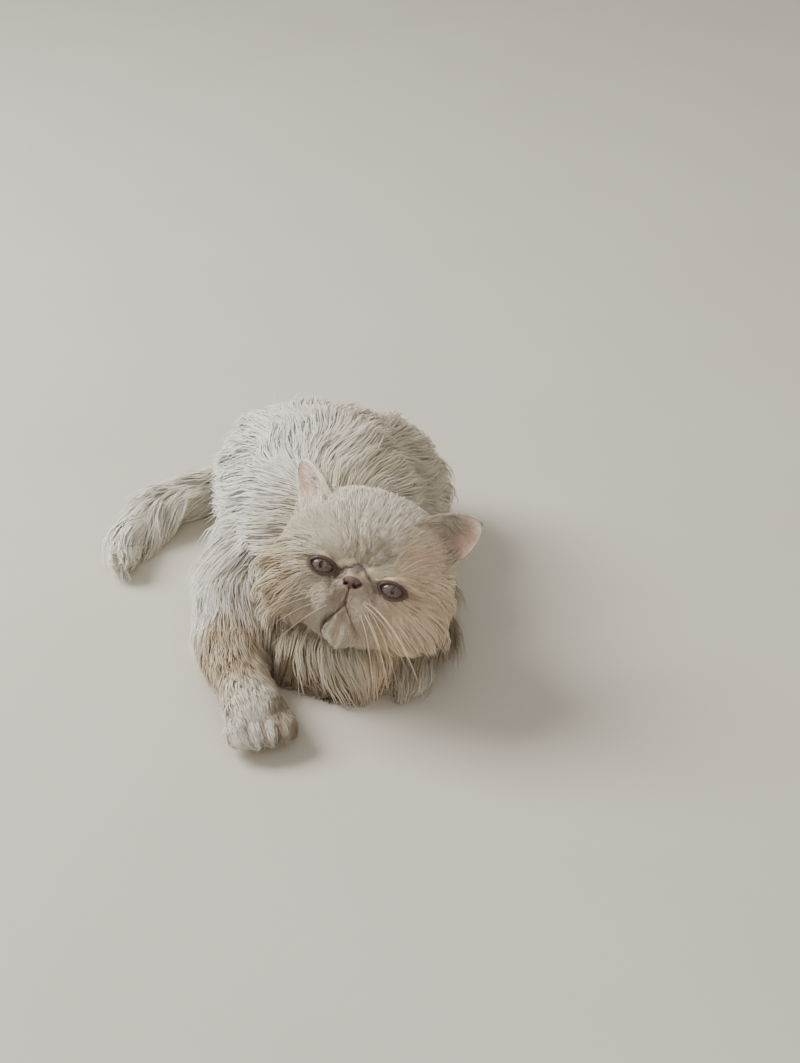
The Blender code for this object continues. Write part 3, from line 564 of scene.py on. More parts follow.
def eye_mesh(side, rings=64, segments=96):
    """A sphere whose radius grows by rise(1 - (a/A)^2)^1.5 inside the cornea's angle A of its front."""
    centre = np.array([side * EYE_SPACING / 2, -EYE_DEPTH, EYE_HEIGHT])
    axis = np.array([side * 0.07, -1.0, 0.015])
    axis /= np.linalg.norm(axis)
    right = np.cross(axis, (0, 0, 1.0))
    right /= np.linalg.norm(right)
    over = np.cross(right, axis)
    polar = math.pi * ((np.arange(rings) + 0.5) / rings) ** 1.35
    turn = np.arange(segments) * 2 * math.pi / segments
    polar_grid, turn_grid = np.meshgrid(polar, turn, indexing="ij")
    swell = CORNEA_RISE * np.maximum(1 - (polar_grid / CORNEA_ANGLE) ** 2, 0) ** 1.5
    radius = EYE_RADIUS - 0.0006 + swell
    points = radius[..., None] * (
        np.cos(polar_grid)[..., None] * axis
        + (np.sin(polar_grid) * np.cos(turn_grid))[..., None] * right
        + (np.sin(polar_grid) * np.sin(turn_grid))[..., None] * over
    )
    poles = np.stack([(EYE_RADIUS - 0.0006 + CORNEA_RISE) * axis, -(EYE_RADIUS - 0.0006) * axis])
    points = np.vstack([points.reshape(-1, 3), poles]) + centre
    ring = np.arange(segments)
    following = (ring + 1) % segments
    last = (rings - 1) * segments
    fans = [(rings * segments, int(a), int(b)) for a, b in zip(ring, following)]
    fans += [(rings * segments + 1, int(last + b), int(last + a)) for a, b in zip(ring, following)]
    quads = [tuple(face) for face in grid_faces(rings, segments, True).tolist()]
    mesh = new_mesh(f"eyeball_{'left' if side > 0 else 'right'}", from_head(points), quads + fans)
    # The UV map is the front view of the eye in millimetres, with the pupil's middle at 0.5, 0.5
    layer = mesh.uv_layers.new(name="Iris")
    corner_vertex = np.empty(len(mesh.loops), np.int32)
    mesh.loops.foreach_get("vertex_index", corner_vertex)
    place = np.empty(len(mesh.vertices) * 3)
    mesh.vertices.foreach_get("co", place)
    local = to_head(place.reshape(-1, 3)) - centre
    flat = np.stack([local @ right, local @ over], axis=1) * 50 + 0.5
    layer.data.foreach_set("uv", flat[corner_vertex].ravel())
    return mesh


def eye_material():
    """Rings of colour by distance from the pupil, streaked by noise stretched along the radius."""
    made = bpy.data.materials.new("eye_iris")
    made.use_nodes = True
    nodes, links = made.node_tree.nodes, made.node_tree.links
    shader = nodes["Principled BSDF"]
    uv = nodes.new("ShaderNodeUVMap")
    uv.uv_map = "Iris"
    centred = nodes.new("ShaderNodeMapping")
    centred.inputs["Location"].default_value = (-0.5, -0.5, 0)
    links.new(uv.outputs["UV"], centred.inputs["Vector"])
    # The pupil is an upright oval, so the distance is taken on axes scaled by its two half sizes
    oval = nodes.new("ShaderNodeVectorMath")
    oval.operation = "MULTIPLY"
    oval.inputs[1].default_value = (1 / 0.075, 1 / 0.125, 0)
    links.new(centred.outputs["Vector"], oval.inputs[0])
    pupil = nodes.new("ShaderNodeVectorMath")
    pupil.operation = "LENGTH"
    links.new(oval.outputs["Vector"], pupil.inputs[0])
    round_distance = nodes.new("ShaderNodeVectorMath")
    round_distance.operation = "LENGTH"
    links.new(centred.outputs["Vector"], round_distance.inputs[0])
    # Fibres: noise read at the direction from the middle and far more slowly along the radius
    direction = nodes.new("ShaderNodeVectorMath")
    direction.operation = "NORMALIZE"
    links.new(centred.outputs["Vector"], direction.inputs[0])
    spread = nodes.new("ShaderNodeVectorMath")
    spread.operation = "SCALE"
    spread.inputs["Scale"].default_value = 9.0
    links.new(direction.outputs["Vector"], spread.inputs[0])
    fibres = nodes.new("ShaderNodeTexNoise")
    fibres.inputs["Scale"].default_value = 1.6
    fibres.inputs["Detail"].default_value = 4.0
    links.new(spread.outputs["Vector"], fibres.inputs["Vector"])
    iris = nodes.new("ShaderNodeValToRGB")
    iris.color_ramp.elements[0].position, iris.color_ramp.elements[0].color = 0.33, (0.042, 0.028, 0.023, 1)
    iris.color_ramp.elements[1].position, iris.color_ramp.elements[1].color = 0.68, (0.185, 0.130, 0.108, 1)
    middle = iris.color_ramp.elements.new(0.5)
    middle.color = (0.100, 0.070, 0.058, 1)
    links.new(fibres.outputs["Fac"], iris.inputs["Fac"])
    rim = nodes.new("ShaderNodeValToRGB")
    rim.color_ramp.elements[0].position, rim.color_ramp.elements[0].color = 0.30, (1, 1, 1, 1)
    rim.color_ramp.elements[1].position, rim.color_ramp.elements[1].color = 0.40, (0.12, 0.10, 0.10, 1)
    links.new(round_distance.outputs["Value"], rim.inputs["Fac"])
    darkened = nodes.new("ShaderNodeMix")
    darkened.data_type = "RGBA"
    darkened.blend_type = "MULTIPLY"
    darkened.inputs["Factor"].default_value = 1.0
    links.new(iris.outputs["Color"], darkened.inputs["A"])
    links.new(rim.outputs["Color"], darkened.inputs["B"])
    slit = nodes.new("ShaderNodeValToRGB")
    slit.color_ramp.elements[0].position, slit.color_ramp.elements[0].color = 0.88, (1, 1, 1, 1)
    slit.color_ramp.elements[1].position, slit.color_ramp.elements[1].color = 1.0, (0, 0, 0, 1)
    links.new(pupil.outputs["Value"], slit.inputs["Fac"])
    painted = nodes.new("ShaderNodeMix")
    painted.data_type = "RGBA"
    painted.inputs["B"].default_value = (0.006, 0.005, 0.005, 1)
    links.new(slit.outputs["Color"], painted.inputs["Factor"])
    links.new(darkened.outputs["Result"], painted.inputs["A"])
    links.new(painted.outputs["Result"], shader.inputs["Base Color"])
    shader.inputs["Roughness"].default_value = 0.35
    shader.inputs["Specular IOR Level"].default_value = 0.2
    shader.inputs["Coat Weight"].default_value = 0.40
    shader.inputs["Coat Roughness"].default_value = 0.03
    return made


iris_material = eye_material()
for side, label in ((-1, "right"), (1, "left")):
    eyeball = new_piece(f"eyeball_{label}", eye_mesh(side))
    eyeball.data.shade_smooth()
    eyeball.data.materials.append(iris_material)
    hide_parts(f"eye_{label}")
    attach(eyeball, "root")
print("eyeballs:", len(eyeball.data.polygons), "faces each")

# %% [markdown]
# ## Lid rims
#
# What makes the eyes read from across a room is the black-brown edge of the lids, a bare wet margin
# about a millimetre wide. It is a tube of small radius that follows the almond opening, laid on the
# ball of the lid. Drawing the same almond that opened the lids keeps the two in step.

# %% Rims along the almonds
RIM_RADIUS = 0.00075


def mottled_material(name, dark, light, roughness, scale):
    """A Principled surface whose colour wanders between two tones, with a faint bump to match."""
    made = bpy.data.materials.new(name)
    made.use_nodes = True
    nodes, links = made.node_tree.nodes, made.node_tree.links
    shader = nodes["Principled BSDF"]
    place = nodes.new("ShaderNodeTexCoord")
    noise = nodes.new("ShaderNodeTexNoise")
    noise.inputs["Scale"].default_value = scale
    noise.inputs["Detail"].default_value = 3.0
    links.new(place.outputs["Object"], noise.inputs["Vector"])
    tones = nodes.new("ShaderNodeValToRGB")
    tones.color_ramp.elements[0].position, tones.color_ramp.elements[0].color = 0.35, (*dark, 1)
    tones.color_ramp.elements[1].position, tones.color_ramp.elements[1].color = 0.65, (*light, 1)
    links.new(noise.outputs["Fac"], tones.inputs["Fac"])
    links.new(tones.outputs["Color"], shader.inputs["Base Color"])
    bumps = nodes.new("ShaderNodeBump")
    bumps.inputs["Strength"].default_value = 0.15
    bumps.inputs["Distance"].default_value = 0.0002
    links.new(noise.outputs["Fac"], bumps.inputs["Height"])
    links.new(bumps.outputs["Normal"], shader.inputs["Normal"])
    shader.inputs["Roughness"].default_value = roughness
    return made


def rim_tube(side, count=160, sides=10):
    """A circle of the rim's radius carried round the almond |a/w|^p + |b/h|^q = 1, closed on itself."""
    centre = np.array([side * EYE_SPACING / 2, -EYE_DEPTH, EYE_HEIGHT])
    width, up, down = OPENING
    turn = np.arange(count) * 2 * math.pi / count
    across = 0.97 * width * np.sign(np.cos(turn)) * np.abs(np.cos(turn)) ** (2 / 1.7)
    high = np.where(np.sin(turn) > 0, up, down)
    upward = 0.97 * high * np.sign(np.sin(turn)) * np.abs(np.sin(turn)) ** (2 / 1.9)
    flat = np.stack([centre[0] + side * across, np.zeros(count), centre[2] + upward], axis=1)
    # Each point goes out along y to where the lid's ball, a little larger than the eye, stands
    ball_radius = EYE_RADIUS + LID_THICKNESS * 0.35
    reach = ball_radius**2 - (flat[:, 0] - centre[0]) ** 2 - (flat[:, 2] - centre[2]) ** 2
    flat[:, 1] = centre[1] - np.sqrt(np.maximum(reach, 0))
    even = np.concatenate([[0], np.cumsum(np.linalg.norm(np.diff(np.vstack([flat, flat[:1]]), axis=0), axis=1))])
    at = np.arange(count) * even[-1] / count
    closed = np.vstack([flat, flat[:1]])
    path = np.stack([np.interp(at, even, closed[:, k]) for k in range(3)], axis=1)
    along = np.roll(path, -1, axis=0) - np.roll(path, 1, axis=0)
    along /= np.linalg.norm(along, axis=1)[:, None]
    outward = path - centre
    outward /= np.linalg.norm(outward, axis=1)[:, None]
    across_rim = np.cross(along, outward)
    angle = np.arange(sides) * 2 * math.pi / sides
    # The rim is thickest along the upper lid and thins out at the outer corner
    thick = RIM_RADIUS * (1 + 0.25 * np.sin(at / even[-1] * 2 * math.pi))[:, None, None]
    ring = (
        path[:, None]
        + thick * np.cos(angle)[None, :, None] * outward[:, None]
        + thick * 1.25 * np.sin(angle)[None, :, None] * across_rim[:, None]
    )
    i, j = np.meshgrid(np.arange(count), np.arange(sides), indexing="ij")
    i2, j2 = (i + 1) % count, (j + 1) % sides
    quads = np.stack([i * sides + j, i * sides + j2, i2 * sides + j2, i2 * sides + j], -1).reshape(-1, 4)
    return from_head(ring.reshape(-1, 3)), [tuple(face) for face in quads.tolist()]


rims = new_piece("lid_rims", new_mesh("lid_rims", *joined([rim_tube(-1), rim_tube(1)])))
rims.data.shade_smooth()
rim_material = mottled_material("lid_rim_skin", (0.026, 0.016, 0.014), (0.050, 0.032, 0.028), 0.45, 900.0)
rims.data.materials.append(rim_material)
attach(rims, "root")
print("lid rims:", len(rims.data.polygons), "faces")

# %% [markdown]
# ## Ears
#
# Each ear is a leaf of thin skin, rolled at its root into a cup and open towards the tip. The leaf is
# a grid of two parameters, up the ear and across it, and its roll shrinks on the way up. Solidify
# turns the sheet into a wall. Low ridges run up inside the cup, as on any real ear, and the canal is
# dark because light hardly reaches it.

# %% The ear leaves
EAR_LENGTH, EAR_HALF_WIDTH, EAR_SUNK = 0.0325, 0.0182, 0.010
EAR_LEAN = 47.0
EAR_ROOT = {-1: (-0.0345, 0.002, 0.0345), 1: (0.0352, -0.0075, 0.0325)}
EAR_TURN = {-1: 53.0, 1: 10.0}


def ear_points(side, up, across, raised=0.0):
    """half = w(1-u^2.4)^0.6, bend = across x roll: a leaf rolled round its own length, then leaned out."""
    half = EAR_HALF_WIDTH * np.maximum(1 - up**2.4, 0) ** 0.60 * (1 - 0.08 * up) + 0.0006
    roll = math.radians(84) * (1 - 0.45 * up)
    bend = across * roll
    x = half * np.sin(bend) / np.sin(roll)
    y = -half * 0.75 * (1 - np.cos(bend)) - 0.004 * up**2 - raised
    z = -EAR_SUNK + (EAR_LENGTH + EAR_SUNK) * up
    leaf = np.stack([x, y, z], axis=-1)
    turned = leaf @ turn_about("Z", side * EAR_TURN[side]).T @ turn_about("Y", side * EAR_LEAN).T
    return from_head(turned + EAR_ROOT[side])


def ear_mesh(side, rows=90, columns=70):
    up, across = np.meshgrid(np.linspace(0, 0.995, rows), np.linspace(-1, 1, columns), indexing="ij")
    ridges = 0.0007 * np.maximum(np.sin(across * 9.0 + 1.2 * up), 0) ** 2 * np.sin(math.pi * up) ** 0.7
    ridges = ridges * (1 - np.abs(across)) * (up < 0.85)
    # A small fold near the outer edge, where a real ear has its marginal pouch
    pouch = 0.0016 * np.exp(-(((across + side * 0.72) / 0.16) ** 2) - ((up - 0.42) / 0.10) ** 2)
    points = ear_points(side, up, across, ridges + pouch)
    faces = [tuple(face) for face in grid_faces(rows, columns, False).tolist()]
    mesh = new_mesh(f"ear_{side}", points.reshape(-1, 3), faces)
    return mesh, up.ravel(), across.ravel()


def ear_material():
    """Pink skin by the attribute: pale at the rim, dark in the canal, with fine veins of noise."""
    made = bpy.data.materials.new("ear_skin")
    made.use_nodes = True
    nodes, links = made.node_tree.nodes, made.node_tree.links
    shader = nodes["Principled BSDF"]
    tint = nodes.new("ShaderNodeAttribute")
    tint.attribute_name = "skin_tint"
    place = nodes.new("ShaderNodeTexCoord")
    mottle = nodes.new("ShaderNodeTexNoise")
    mottle.inputs["Scale"].default_value = 420.0
    mottle.inputs["Detail"].default_value = 5.0
    links.new(place.outputs["Object"], mottle.inputs["Vector"])
    shade = nodes.new("ShaderNodeMapRange")
    shade.inputs["From Min"].default_value = 0.3
    shade.inputs["From Max"].default_value = 0.7
    shade.inputs["To Min"].default_value = 0.82
    shade.inputs["To Max"].default_value = 1.12
    links.new(mottle.outputs["Fac"], shade.inputs["Value"])
    mixed = nodes.new("ShaderNodeVectorMath")
    mixed.operation = "SCALE"
    links.new(tint.outputs["Color"], mixed.inputs[0])
    links.new(shade.outputs["Result"], mixed.inputs["Scale"])
    links.new(mixed.outputs["Vector"], shader.inputs["Base Color"])
    bumps = nodes.new("ShaderNodeBump")
    bumps.inputs["Strength"].default_value = 0.25
    bumps.inputs["Distance"].default_value = 0.0004
    links.new(mottle.outputs["Fac"], bumps.inputs["Height"])
    links.new(bumps.outputs["Normal"], shader.inputs["Normal"])
    shader.inputs["Roughness"].default_value = 0.62
    shader.inputs["Subsurface Weight"].default_value = 0.15
    shader.inputs["Subsurface Radius"].default_value = (0.006, 0.002, 0.001)
    shader.inputs["Sheen Weight"].default_value = 0.15
    return made


def set_color(mesh, name, colors):
    """Stores one colour for each vertex under the given attribute name."""
    attribute = mesh.color_attributes.new(name, "FLOAT_COLOR", "POINT")
    rgba = np.ones((len(colors), 4), np.float32)
    rgba[:, :3] = colors
    attribute.data.foreach_set("color", rgba.ravel())


ear_skin = ear_material()
for side, label in ((-1, "right"), (1, "left")):
    mesh, up, across = ear_mesh(side)
    rim = np.clip(np.maximum(np.abs(across) ** 3, smooth_step(0.75, 1.0, up)), 0, 1)[:, None]
    canal = np.exp(-((up - 0.32) / 0.11) ** 2 - ((across - 0.52 * side) / 0.28) ** 2)[:, None]
    pink, pale, dark = np.array([0.50, 0.315, 0.260]), np.array([0.80, 0.65, 0.53]), np.array([0.10, 0.055, 0.045])
    colors = pink * (1 - rim) + pale * rim
    colors = colors * (1 - 0.9 * canal) + dark * 0.9 * canal
    ear = new_piece(f"ear_leaf_{label}", mesh)
    set_color(ear.data, "skin_tint", colors)
    wall = ear.modifiers.new("wall", "SOLIDIFY")
    wall.thickness = 0.0014
    wall.offset = 0.0
    apply_modifiers(ear)
    ear.data.shade_smooth()
    ear.data.materials.append(ear_skin)
    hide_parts(f"ear_{label}")
    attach(ear, "root")
print("ears:", len(ear.data.polygons), "faces each")

# %% [markdown]
# ## Whiskers
#
# A whisker is a stiff tapered bristle, thick as a thread at its root and fine as a hair at its tip.
# They leave the muzzle pads in four rows and, on a cat at rest, hang out and down in a long curve.
# Each is a tube with a few sides on a parabola: out along its own direction, bent by its weight.

# %% The whiskers
WHISKER_COUNT = 9


def tapered_tube(points, radii, sides=6):
    """Rings of the given radii square to a path, closed by a point at each end; a ring for each point."""
    along = np.gradient(points, axis=0)
    along /= np.linalg.norm(along, axis=1)[:, None]
    helper = np.array([0.0, 0.0, 1.0]) if abs(along[0, 2]) < 0.9 else np.array([1.0, 0.0, 0.0])
    across = np.cross(along, helper)
    across /= np.linalg.norm(across, axis=1)[:, None]
    over = np.cross(across, along)
    angle = np.arange(sides) * 2 * math.pi / sides
    ring = points[:, None] + radii[:, None, None] * (
        np.cos(angle)[None, :, None] * across[:, None] + np.sin(angle)[None, :, None] * over[:, None]
    )
    rows = len(points)
    tips = np.stack([points[0] - along[0] * radii[0], points[-1] + along[-1] * radii[-1]])
    every = np.vstack([ring.reshape(-1, 3), tips])
    quads = [tuple(face) for face in grid_faces(rows, sides, True).tolist()]
    last = (rows - 1) * sides
    turn = list(range(sides))
    fans = [(rows * sides, (k + 1) % sides, k) for k in turn]
    fans += [(rows * sides + 1, last + k, last + (k + 1) % sides) for k in turn]
    return every, quads + fans


def on_head(x, z):
    """The place on the head's skin at these x and z of its frame, found by stepping the direction."""
    x, z = np.atleast_1d(x).astype(float), np.atleast_1d(z).astype(float)
    y = np.full_like(x, -0.045)
    for _ in range(12):
        place = np.stack([x, y, z], axis=1)
        length = np.linalg.norm(place, axis=1)
        y = y * head_radius(place / length[:, None]) / length
    return np.stack([x, y, z], axis=1)


draw = np.random.default_rng(11)
whisker_parts = []
for side in (-1, 1):
    for i in range(WHISKER_COUNT if side > 0 else WHISKER_COUNT - 4):
        row, step = i % 4, i // 4
        root = on_head(side * (0.0085 + 0.0022 * step + draw.uniform(-3e-4, 3e-4)), -0.0150 - 0.0024 * row)[0]
        length = draw.uniform(0.040, 0.066) * (1.0 - 0.07 * row)
        spread = math.radians(draw.uniform(-12, 12) + 20 - 13 * row)
        heading = np.array([side * math.cos(spread), -0.62 + 0.13 * step, math.sin(spread) - 0.50])
        heading /= np.linalg.norm(heading)
        t = np.linspace(0, 1, 16)[:, None]
        fall = np.array([0, 0.10, -0.42]) * length
        path = root + heading * length * t + fall * t**2 - 0.0012 * root / np.linalg.norm(root) * (1 - t)
        path = from_head(path)
        path[:, 2] = np.maximum(path[:, 2], 0.002)
        radii = 0.00014 * (1 - t[:, 0]) ** 0.8 + 0.00003
        whisker_parts.append(tapered_tube(path, radii))
# A few brow bristles over each eye
for side in (-1, 1):
    for i in range(4):
        root = on_head(side * (0.0185 + 0.0024 * i), 0.0085 + draw.uniform(-5e-4, 5e-4))[0]
        length = draw.uniform(0.018, 0.030)
        heading = np.array([side * (0.15 + 0.22 * i), -0.75, 0.85])
        heading /= np.linalg.norm(heading)
        t = np.linspace(0, 1, 12)[:, None]
        path = from_head(root + heading * length * t + np.array([0, 0.35, -0.15]) * length * t**2)
        whisker_parts.append(tapered_tube(path, 0.00011 * (1 - t[:, 0]) ** 0.8 + 0.00003))
whiskers = new_piece("whiskers", new_mesh("whiskers", *joined(whisker_parts)))
whiskers.data.shade_smooth()
whisker_material = mottled_material("whisker", (0.58, 0.48, 0.34), (0.72, 0.62, 0.46), 0.45, 300.0)
whiskers.data.materials.append(whisker_material)
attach(whiskers, "root")
print("whiskers:", len(whisker_parts), "bristles,", len(whiskers.data.polygons), "faces")

# %% [markdown]
# ## The markings
#
# The cat is cream: nearly white on its paws, a warm beige on the left cheek, with faint tan bands on the
# foreleg, brown tear marks and a dark nose. Its right flank is painted nearly white and its left flank
# tan, partly its own colour and partly painted light on its right and painted shade on its left. The
# ruff on the chest is painted deep brown, its tan deepened by painted shade under the head. Painted
# shade also darkens the folds and furrows of the brow, the mouth, the chin, the right cheek's locks,
# the hollow under the left cheek, the nostrils, the toes and the skin between the hairs. The colours are
# worked out once, for every point of the skin, from where it lies. The tufts then take the colour of
# the skin at their roots, so skin and coat always carry the same markings.

# %% Colours of the coat, as linear light
PALE = np.array([0.90, 0.865, 0.735])
CREAM = np.array([0.80, 0.67, 0.475])
CROWN = np.array([0.93, 0.765, 0.555])
WARM = np.array([0.91, 0.61, 0.36])
TAN = np.array([0.55, 0.39, 0.235])
# Brown of the ruff: its tan deepened by painted shade under the head
RUFF_SHADE_BROWN = np.array([0.30, 0.190, 0.112])
YELLOWISH = np.array([0.74, 0.595, 0.36])
MUZZLE = np.array([0.40, 0.262, 0.182])
PAW_CREAM = np.array([0.84, 0.75, 0.59])
# Brown of the tear marks, also used as painted shade in the folds by the nose, the mouth's crease, the toes' clefts
# and the ear's cup
TEAR_AND_SHADE_BROWN = np.array([0.13, 0.085, 0.065])
NOSE_LEATHER = np.array([0.130, 0.082, 0.074])
BRIDGE_PINK = np.array([0.40, 0.28, 0.235])
LIP_DARK = np.array([0.050, 0.030, 0.027])


def mottle(points, wavelength, seed):
    """Soft noise from -1 to 1: the mean of eight sine waves in random directions."""
    draw = np.random.default_rng(seed)
    ways = draw.normal(size=(8, 3))
    ways *= (draw.uniform(0.6, 1.5, 8) / np.linalg.norm(ways, axis=1) * 2 * math.pi / wavelength)[:, None]
    waves = np.sin(points @ ways.T + draw.uniform(0, 6.28, 8))
    return np.clip(waves.mean(axis=1) * 2.2, -1, 1)


def blend(colors, target, share):
    return colors + (target - colors) * np.clip(share, 0, 1)[:, None]


def face_places(points):
    """Side, signed side and height in the head's frame, and a mask that is 1 on the front of the face."""
    local = to_head(points)
    signed = straight_x(local[:, 0], local[:, 2])
    return np.abs(signed), signed, local[:, 2], smooth_step(0.004, -0.010, local[:, 1]), local[:, 1]


PAWS = (
    # path of the leg, heading in degrees, width over the toes
    ("foreleg_out", 14, 0.035),
    ("foreleg_tucked", -24, 0.035),
    ("foot_right", 0, 0.031),
    ("foot_left", 0, 0.031),
)


def toe_gaps(points):
    """1 in the three clefts between the four toes of each paw, and 0 away from them."""
    gaps = np.zeros(len(points))
    for name, heading, width in PAWS:
        turn = turn_about("Z", heading)
        local = (points - PATHS[name][-1, :3]) @ turn
        step = local[:, 0] / (width / 3.6)
        cleft = np.exp(-(((step - np.clip(np.round(step), -1, 1)) / 0.19) ** 2))
        near = smooth_step(-0.006, -0.012, local[:, 1]) * (np.abs(step) < 2.1)
        near = near * (np.linalg.norm(local, axis=1) < 0.040)
        gaps = np.maximum(gaps, cleft * near)
    return gaps


def fur_color(points, part):
    """The coat's colour at points of the skin; part holds each point's shares in the parts."""
    design = points - SHIFT
    x, y, z = design.T
    head, neck, torso, foreleg, paw, thigh, foot, tail = part.T
    colors = np.repeat(CREAM[None], len(points), axis=0)
    # Nearly white on the right flank and tan on the left: partly the coat's own colour, partly painted light on the
    # right and painted shade on the left
    to_left_side = smooth_step(-0.035, 0.030, x)
    body = torso + thigh + 0.6 * tail
    colors = blend(colors, PALE, body * (1 - to_left_side) * 0.9)
    colors = blend(colors, CREAM, body * smooth_step(0.01, 0.08, y) * 0.35)
    colors = blend(colors, TAN, body * to_left_side * (0.30 + 0.25 * mottle(points, 0.09, 3)))
    # The ruff painted deep brown, partly its own tan and partly painted shade under the head; lower down, towards the
    # floor, more painted shade darkens it further
    colors = blend(colors, RUFF_SHADE_BROWN, neck * (0.78 + 0.22 * mottle(points, 0.030, 4)))
    colors = blend(colors, TAN * 0.52, neck * (0.55 + 0.5 * mottle(points, 0.020, 5)) * smooth_step(0.095, 0.055, z))
    bands = 0.5 + 0.5 * np.sin(y / 0.0062 + 0.6 * mottle(points, 0.04, 6) * 3)
    colors = blend(colors, TAN * (0.70, 0.66, 0.60), foreleg * (0.74 + 0.26 * bands) * smooth_step(-0.130, -0.100, y))
    shoulder = smooth_step(-0.072, -0.026, y + 0.014 * mottle(points, 0.03, 14)) * smooth_step(0.0, -0.03, x)
    colors = blend(colors, 0.6 * PALE + 0.4 * CROWN, (foreleg + neck * 0.7) * shoulder)
    colors = blend(colors, PAW_CREAM, paw * 0.8 + foot * 0.7)
    inner = ((points - PATHS["foreleg_out"][-1, :3]) @ turn_about("Z", 14))[:, 0]
    near_paw = smooth_step(0.045, 0.030, np.linalg.norm(points - PATHS["foreleg_out"][-1, :3], axis=1))
    colors = blend(colors, TAN * 0.62, near_paw * smooth_step(0.004, 0.011, inner) * 0.9)
    # Painted shade under the toes next to the floor and in the clefts between them
    under_toes = near_paw * smooth_step(0.011, 0.004, points[:, 2]) * (0.7 + 0.3 * mottle(points, 0.008, 15))
    colors = blend(colors, TAN * 0.55, under_toes * 0.6)
    colors = blend(colors, TEAR_AND_SHADE_BROWN * 1.3, toe_gaps(points) * 0.9)
    side, signed, up, front, _ = face_places(points)
    head = head * 1.0
    colors = blend(colors, CROWN, head * smooth_step(0.012, 0.034, up) * 0.85)
    colors = blend(colors, CREAM * 0.66, head * smooth_step(0.0, -0.014, signed) * bump(0 * up, up, 0, 0.016, 1, 0.016) * 0.78)
    left_half = smooth_step(0.004, 0.026, signed) * smooth_step(0.046, 0.022, up)
    colors = blend(colors, WARM, head * left_half * (0.80 + 0.2 * mottle(points, 0.018, 13)))
    left_cheek = smooth_step(0.012, 0.030, signed) * smooth_step(0.022, 0.0, up)
    colors = blend(colors, WARM, head * left_cheek * (0.75 + 0.25 * mottle(points, 0.02, 7)))
    # The right cheek's tan, deepened in mottled patches by painted shade between its locks
    right_cheek = smooth_step(-0.012, -0.030, signed) * smooth_step(0.020, 0.0, up)
    colors = blend(colors, TAN * 0.78, head * right_cheek * (0.72 + 0.35 * mottle(points, 0.020, 8)))
    brow = bump(side, up, 0.0135, 0.0130, 0.0075, 0.0065)
    colors = blend(colors, YELLOWISH, head * front * brow * 0.55)
    colors = blend(colors, MUZZLE, head * front * bump(side, up, 0.0, -0.017, 0.019, 0.013) * 0.9)
    # Painted shade in the hollow above the nose and in the furrows of the brow
    crease = bump(side, up, 0.0, 0.0105, 0.0045, 0.0085) * (0.5 + 0.5 * mottle(points, 0.006, 9))
    colors = blend(colors, TAN * 0.9, head * front * crease * 0.8)
    furrows = np.maximum(
        along_line(signed, up, -0.0010, 0.0055, 0.0030, 0.0185, 0.0011),
        along_line(signed, up, 0.0062, 0.0080, 0.0150, 0.0150, 0.0013),
    )
    furrows = np.maximum(furrows, along_line(signed, up, -0.0052, 0.0085, -0.0085, 0.0165, 0.0010) * 0.7)
    colors = blend(colors, TAN * 0.75, head * front * furrows * 0.75)
    bridge = bump(side, up, 0.0, -0.0006, 0.0064, 0.0054)
    colors = blend(colors, BRIDGE_PINK, head * front * bridge * 0.85)
    under_nose = bump(side, up, 0.0, -0.0165, 0.0062, 0.0075)
    colors = blend(colors, BRIDGE_PINK * 1.05, head * front * under_nose * 0.75)
    tear = np.where(
        signed > 0,
        along_line(signed, up, 0.0090, -0.0028, 0.0124, -0.0118, 0.0014),
        along_line(side, up, 0.0128, -0.0050, 0.0086, -0.0150, 0.0020),
    )
    # Painted shade in the fold from the left eye over the nose
    crease_left = along_line(signed, up, 0.0012, 0.0052, 0.0088, -0.0028, 0.0009)
    colors = blend(colors, TEAR_AND_SHADE_BROWN, head * front * crease_left * 0.75)
    colors = blend(colors, TEAR_AND_SHADE_BROWN, head * front * tear * (0.70 + 0.3 * mottle(points, 0.003, 12)))
    corner = bump(side, up, 0.0120, -0.0044, 0.0036, 0.0030) * (signed < 0) + bump(side, up, 0.0120, -0.0052, 0.0024, 0.0036) * (signed > 0)
    colors = blend(colors, TEAR_AND_SHADE_BROWN, head * front * corner * 1.1)
    ring = np.exp(-(np.maximum(almond(side - EYE_SPACING / 2, up - EYE_HEIGHT) - 1.15, 0) / 0.42) ** 2)
    ring = ring * (1 - 0.6 * smooth_step(0.003, 0.008, side - EYE_SPACING / 2))
    colors = blend(colors, TEAR_AND_SHADE_BROWN, head * front * ring * 0.88)
    # Dark along the mouth: partly the lips' own dark edge, partly painted shade in the mouth's crease and at its right
    # corner
    mouth = np.maximum(
        along_line(side, up, 0.0, -0.0190, 0.0050, -0.0258, 0.0013),
        along_line(side, up, 0.0050, -0.0258, 0.0110, -0.0350, 0.0016),
    )
    colors = blend(colors, TEAR_AND_SHADE_BROWN * 0.9, head * front * mouth * np.where(signed > 0, 0.5 * smooth_step(-0.034, -0.026, up), 0.75))
    right_corner = along_line(signed, up, -0.0072, -0.0285, -0.0118, -0.0362, 0.0022)
    colors = blend(colors, TEAR_AND_SHADE_BROWN * 0.8, head * front * right_corner * 0.8)
    chin_locks = np.maximum(
        along_line(signed, up, -0.0042, -0.0295, -0.0046, -0.0440, 0.0015),
        along_line(signed, up, 0.0016, -0.0290, 0.0022, -0.0450, 0.0015),
    )
    # The chin under the lower lip painted darker tan: painted shade between the pale chin locks
    under_lip = bump(side, up, 0.0, -0.0375, 0.0085, 0.0075)
    colors = blend(colors, TAN * (0.85, 0.80, 0.76), head * front * under_lip * 0.85)
    colors = blend(colors, CREAM, head * front * chin_locks * 0.85)
    # Painted shade under the chin, where it meets the ruff
    under_chin = smooth_step(-0.040, -0.050, up) * smooth_step(0.020, 0.010, side)
    colors = blend(colors, RUFF_SHADE_BROWN * 1.25, head * front * under_chin * 0.6)
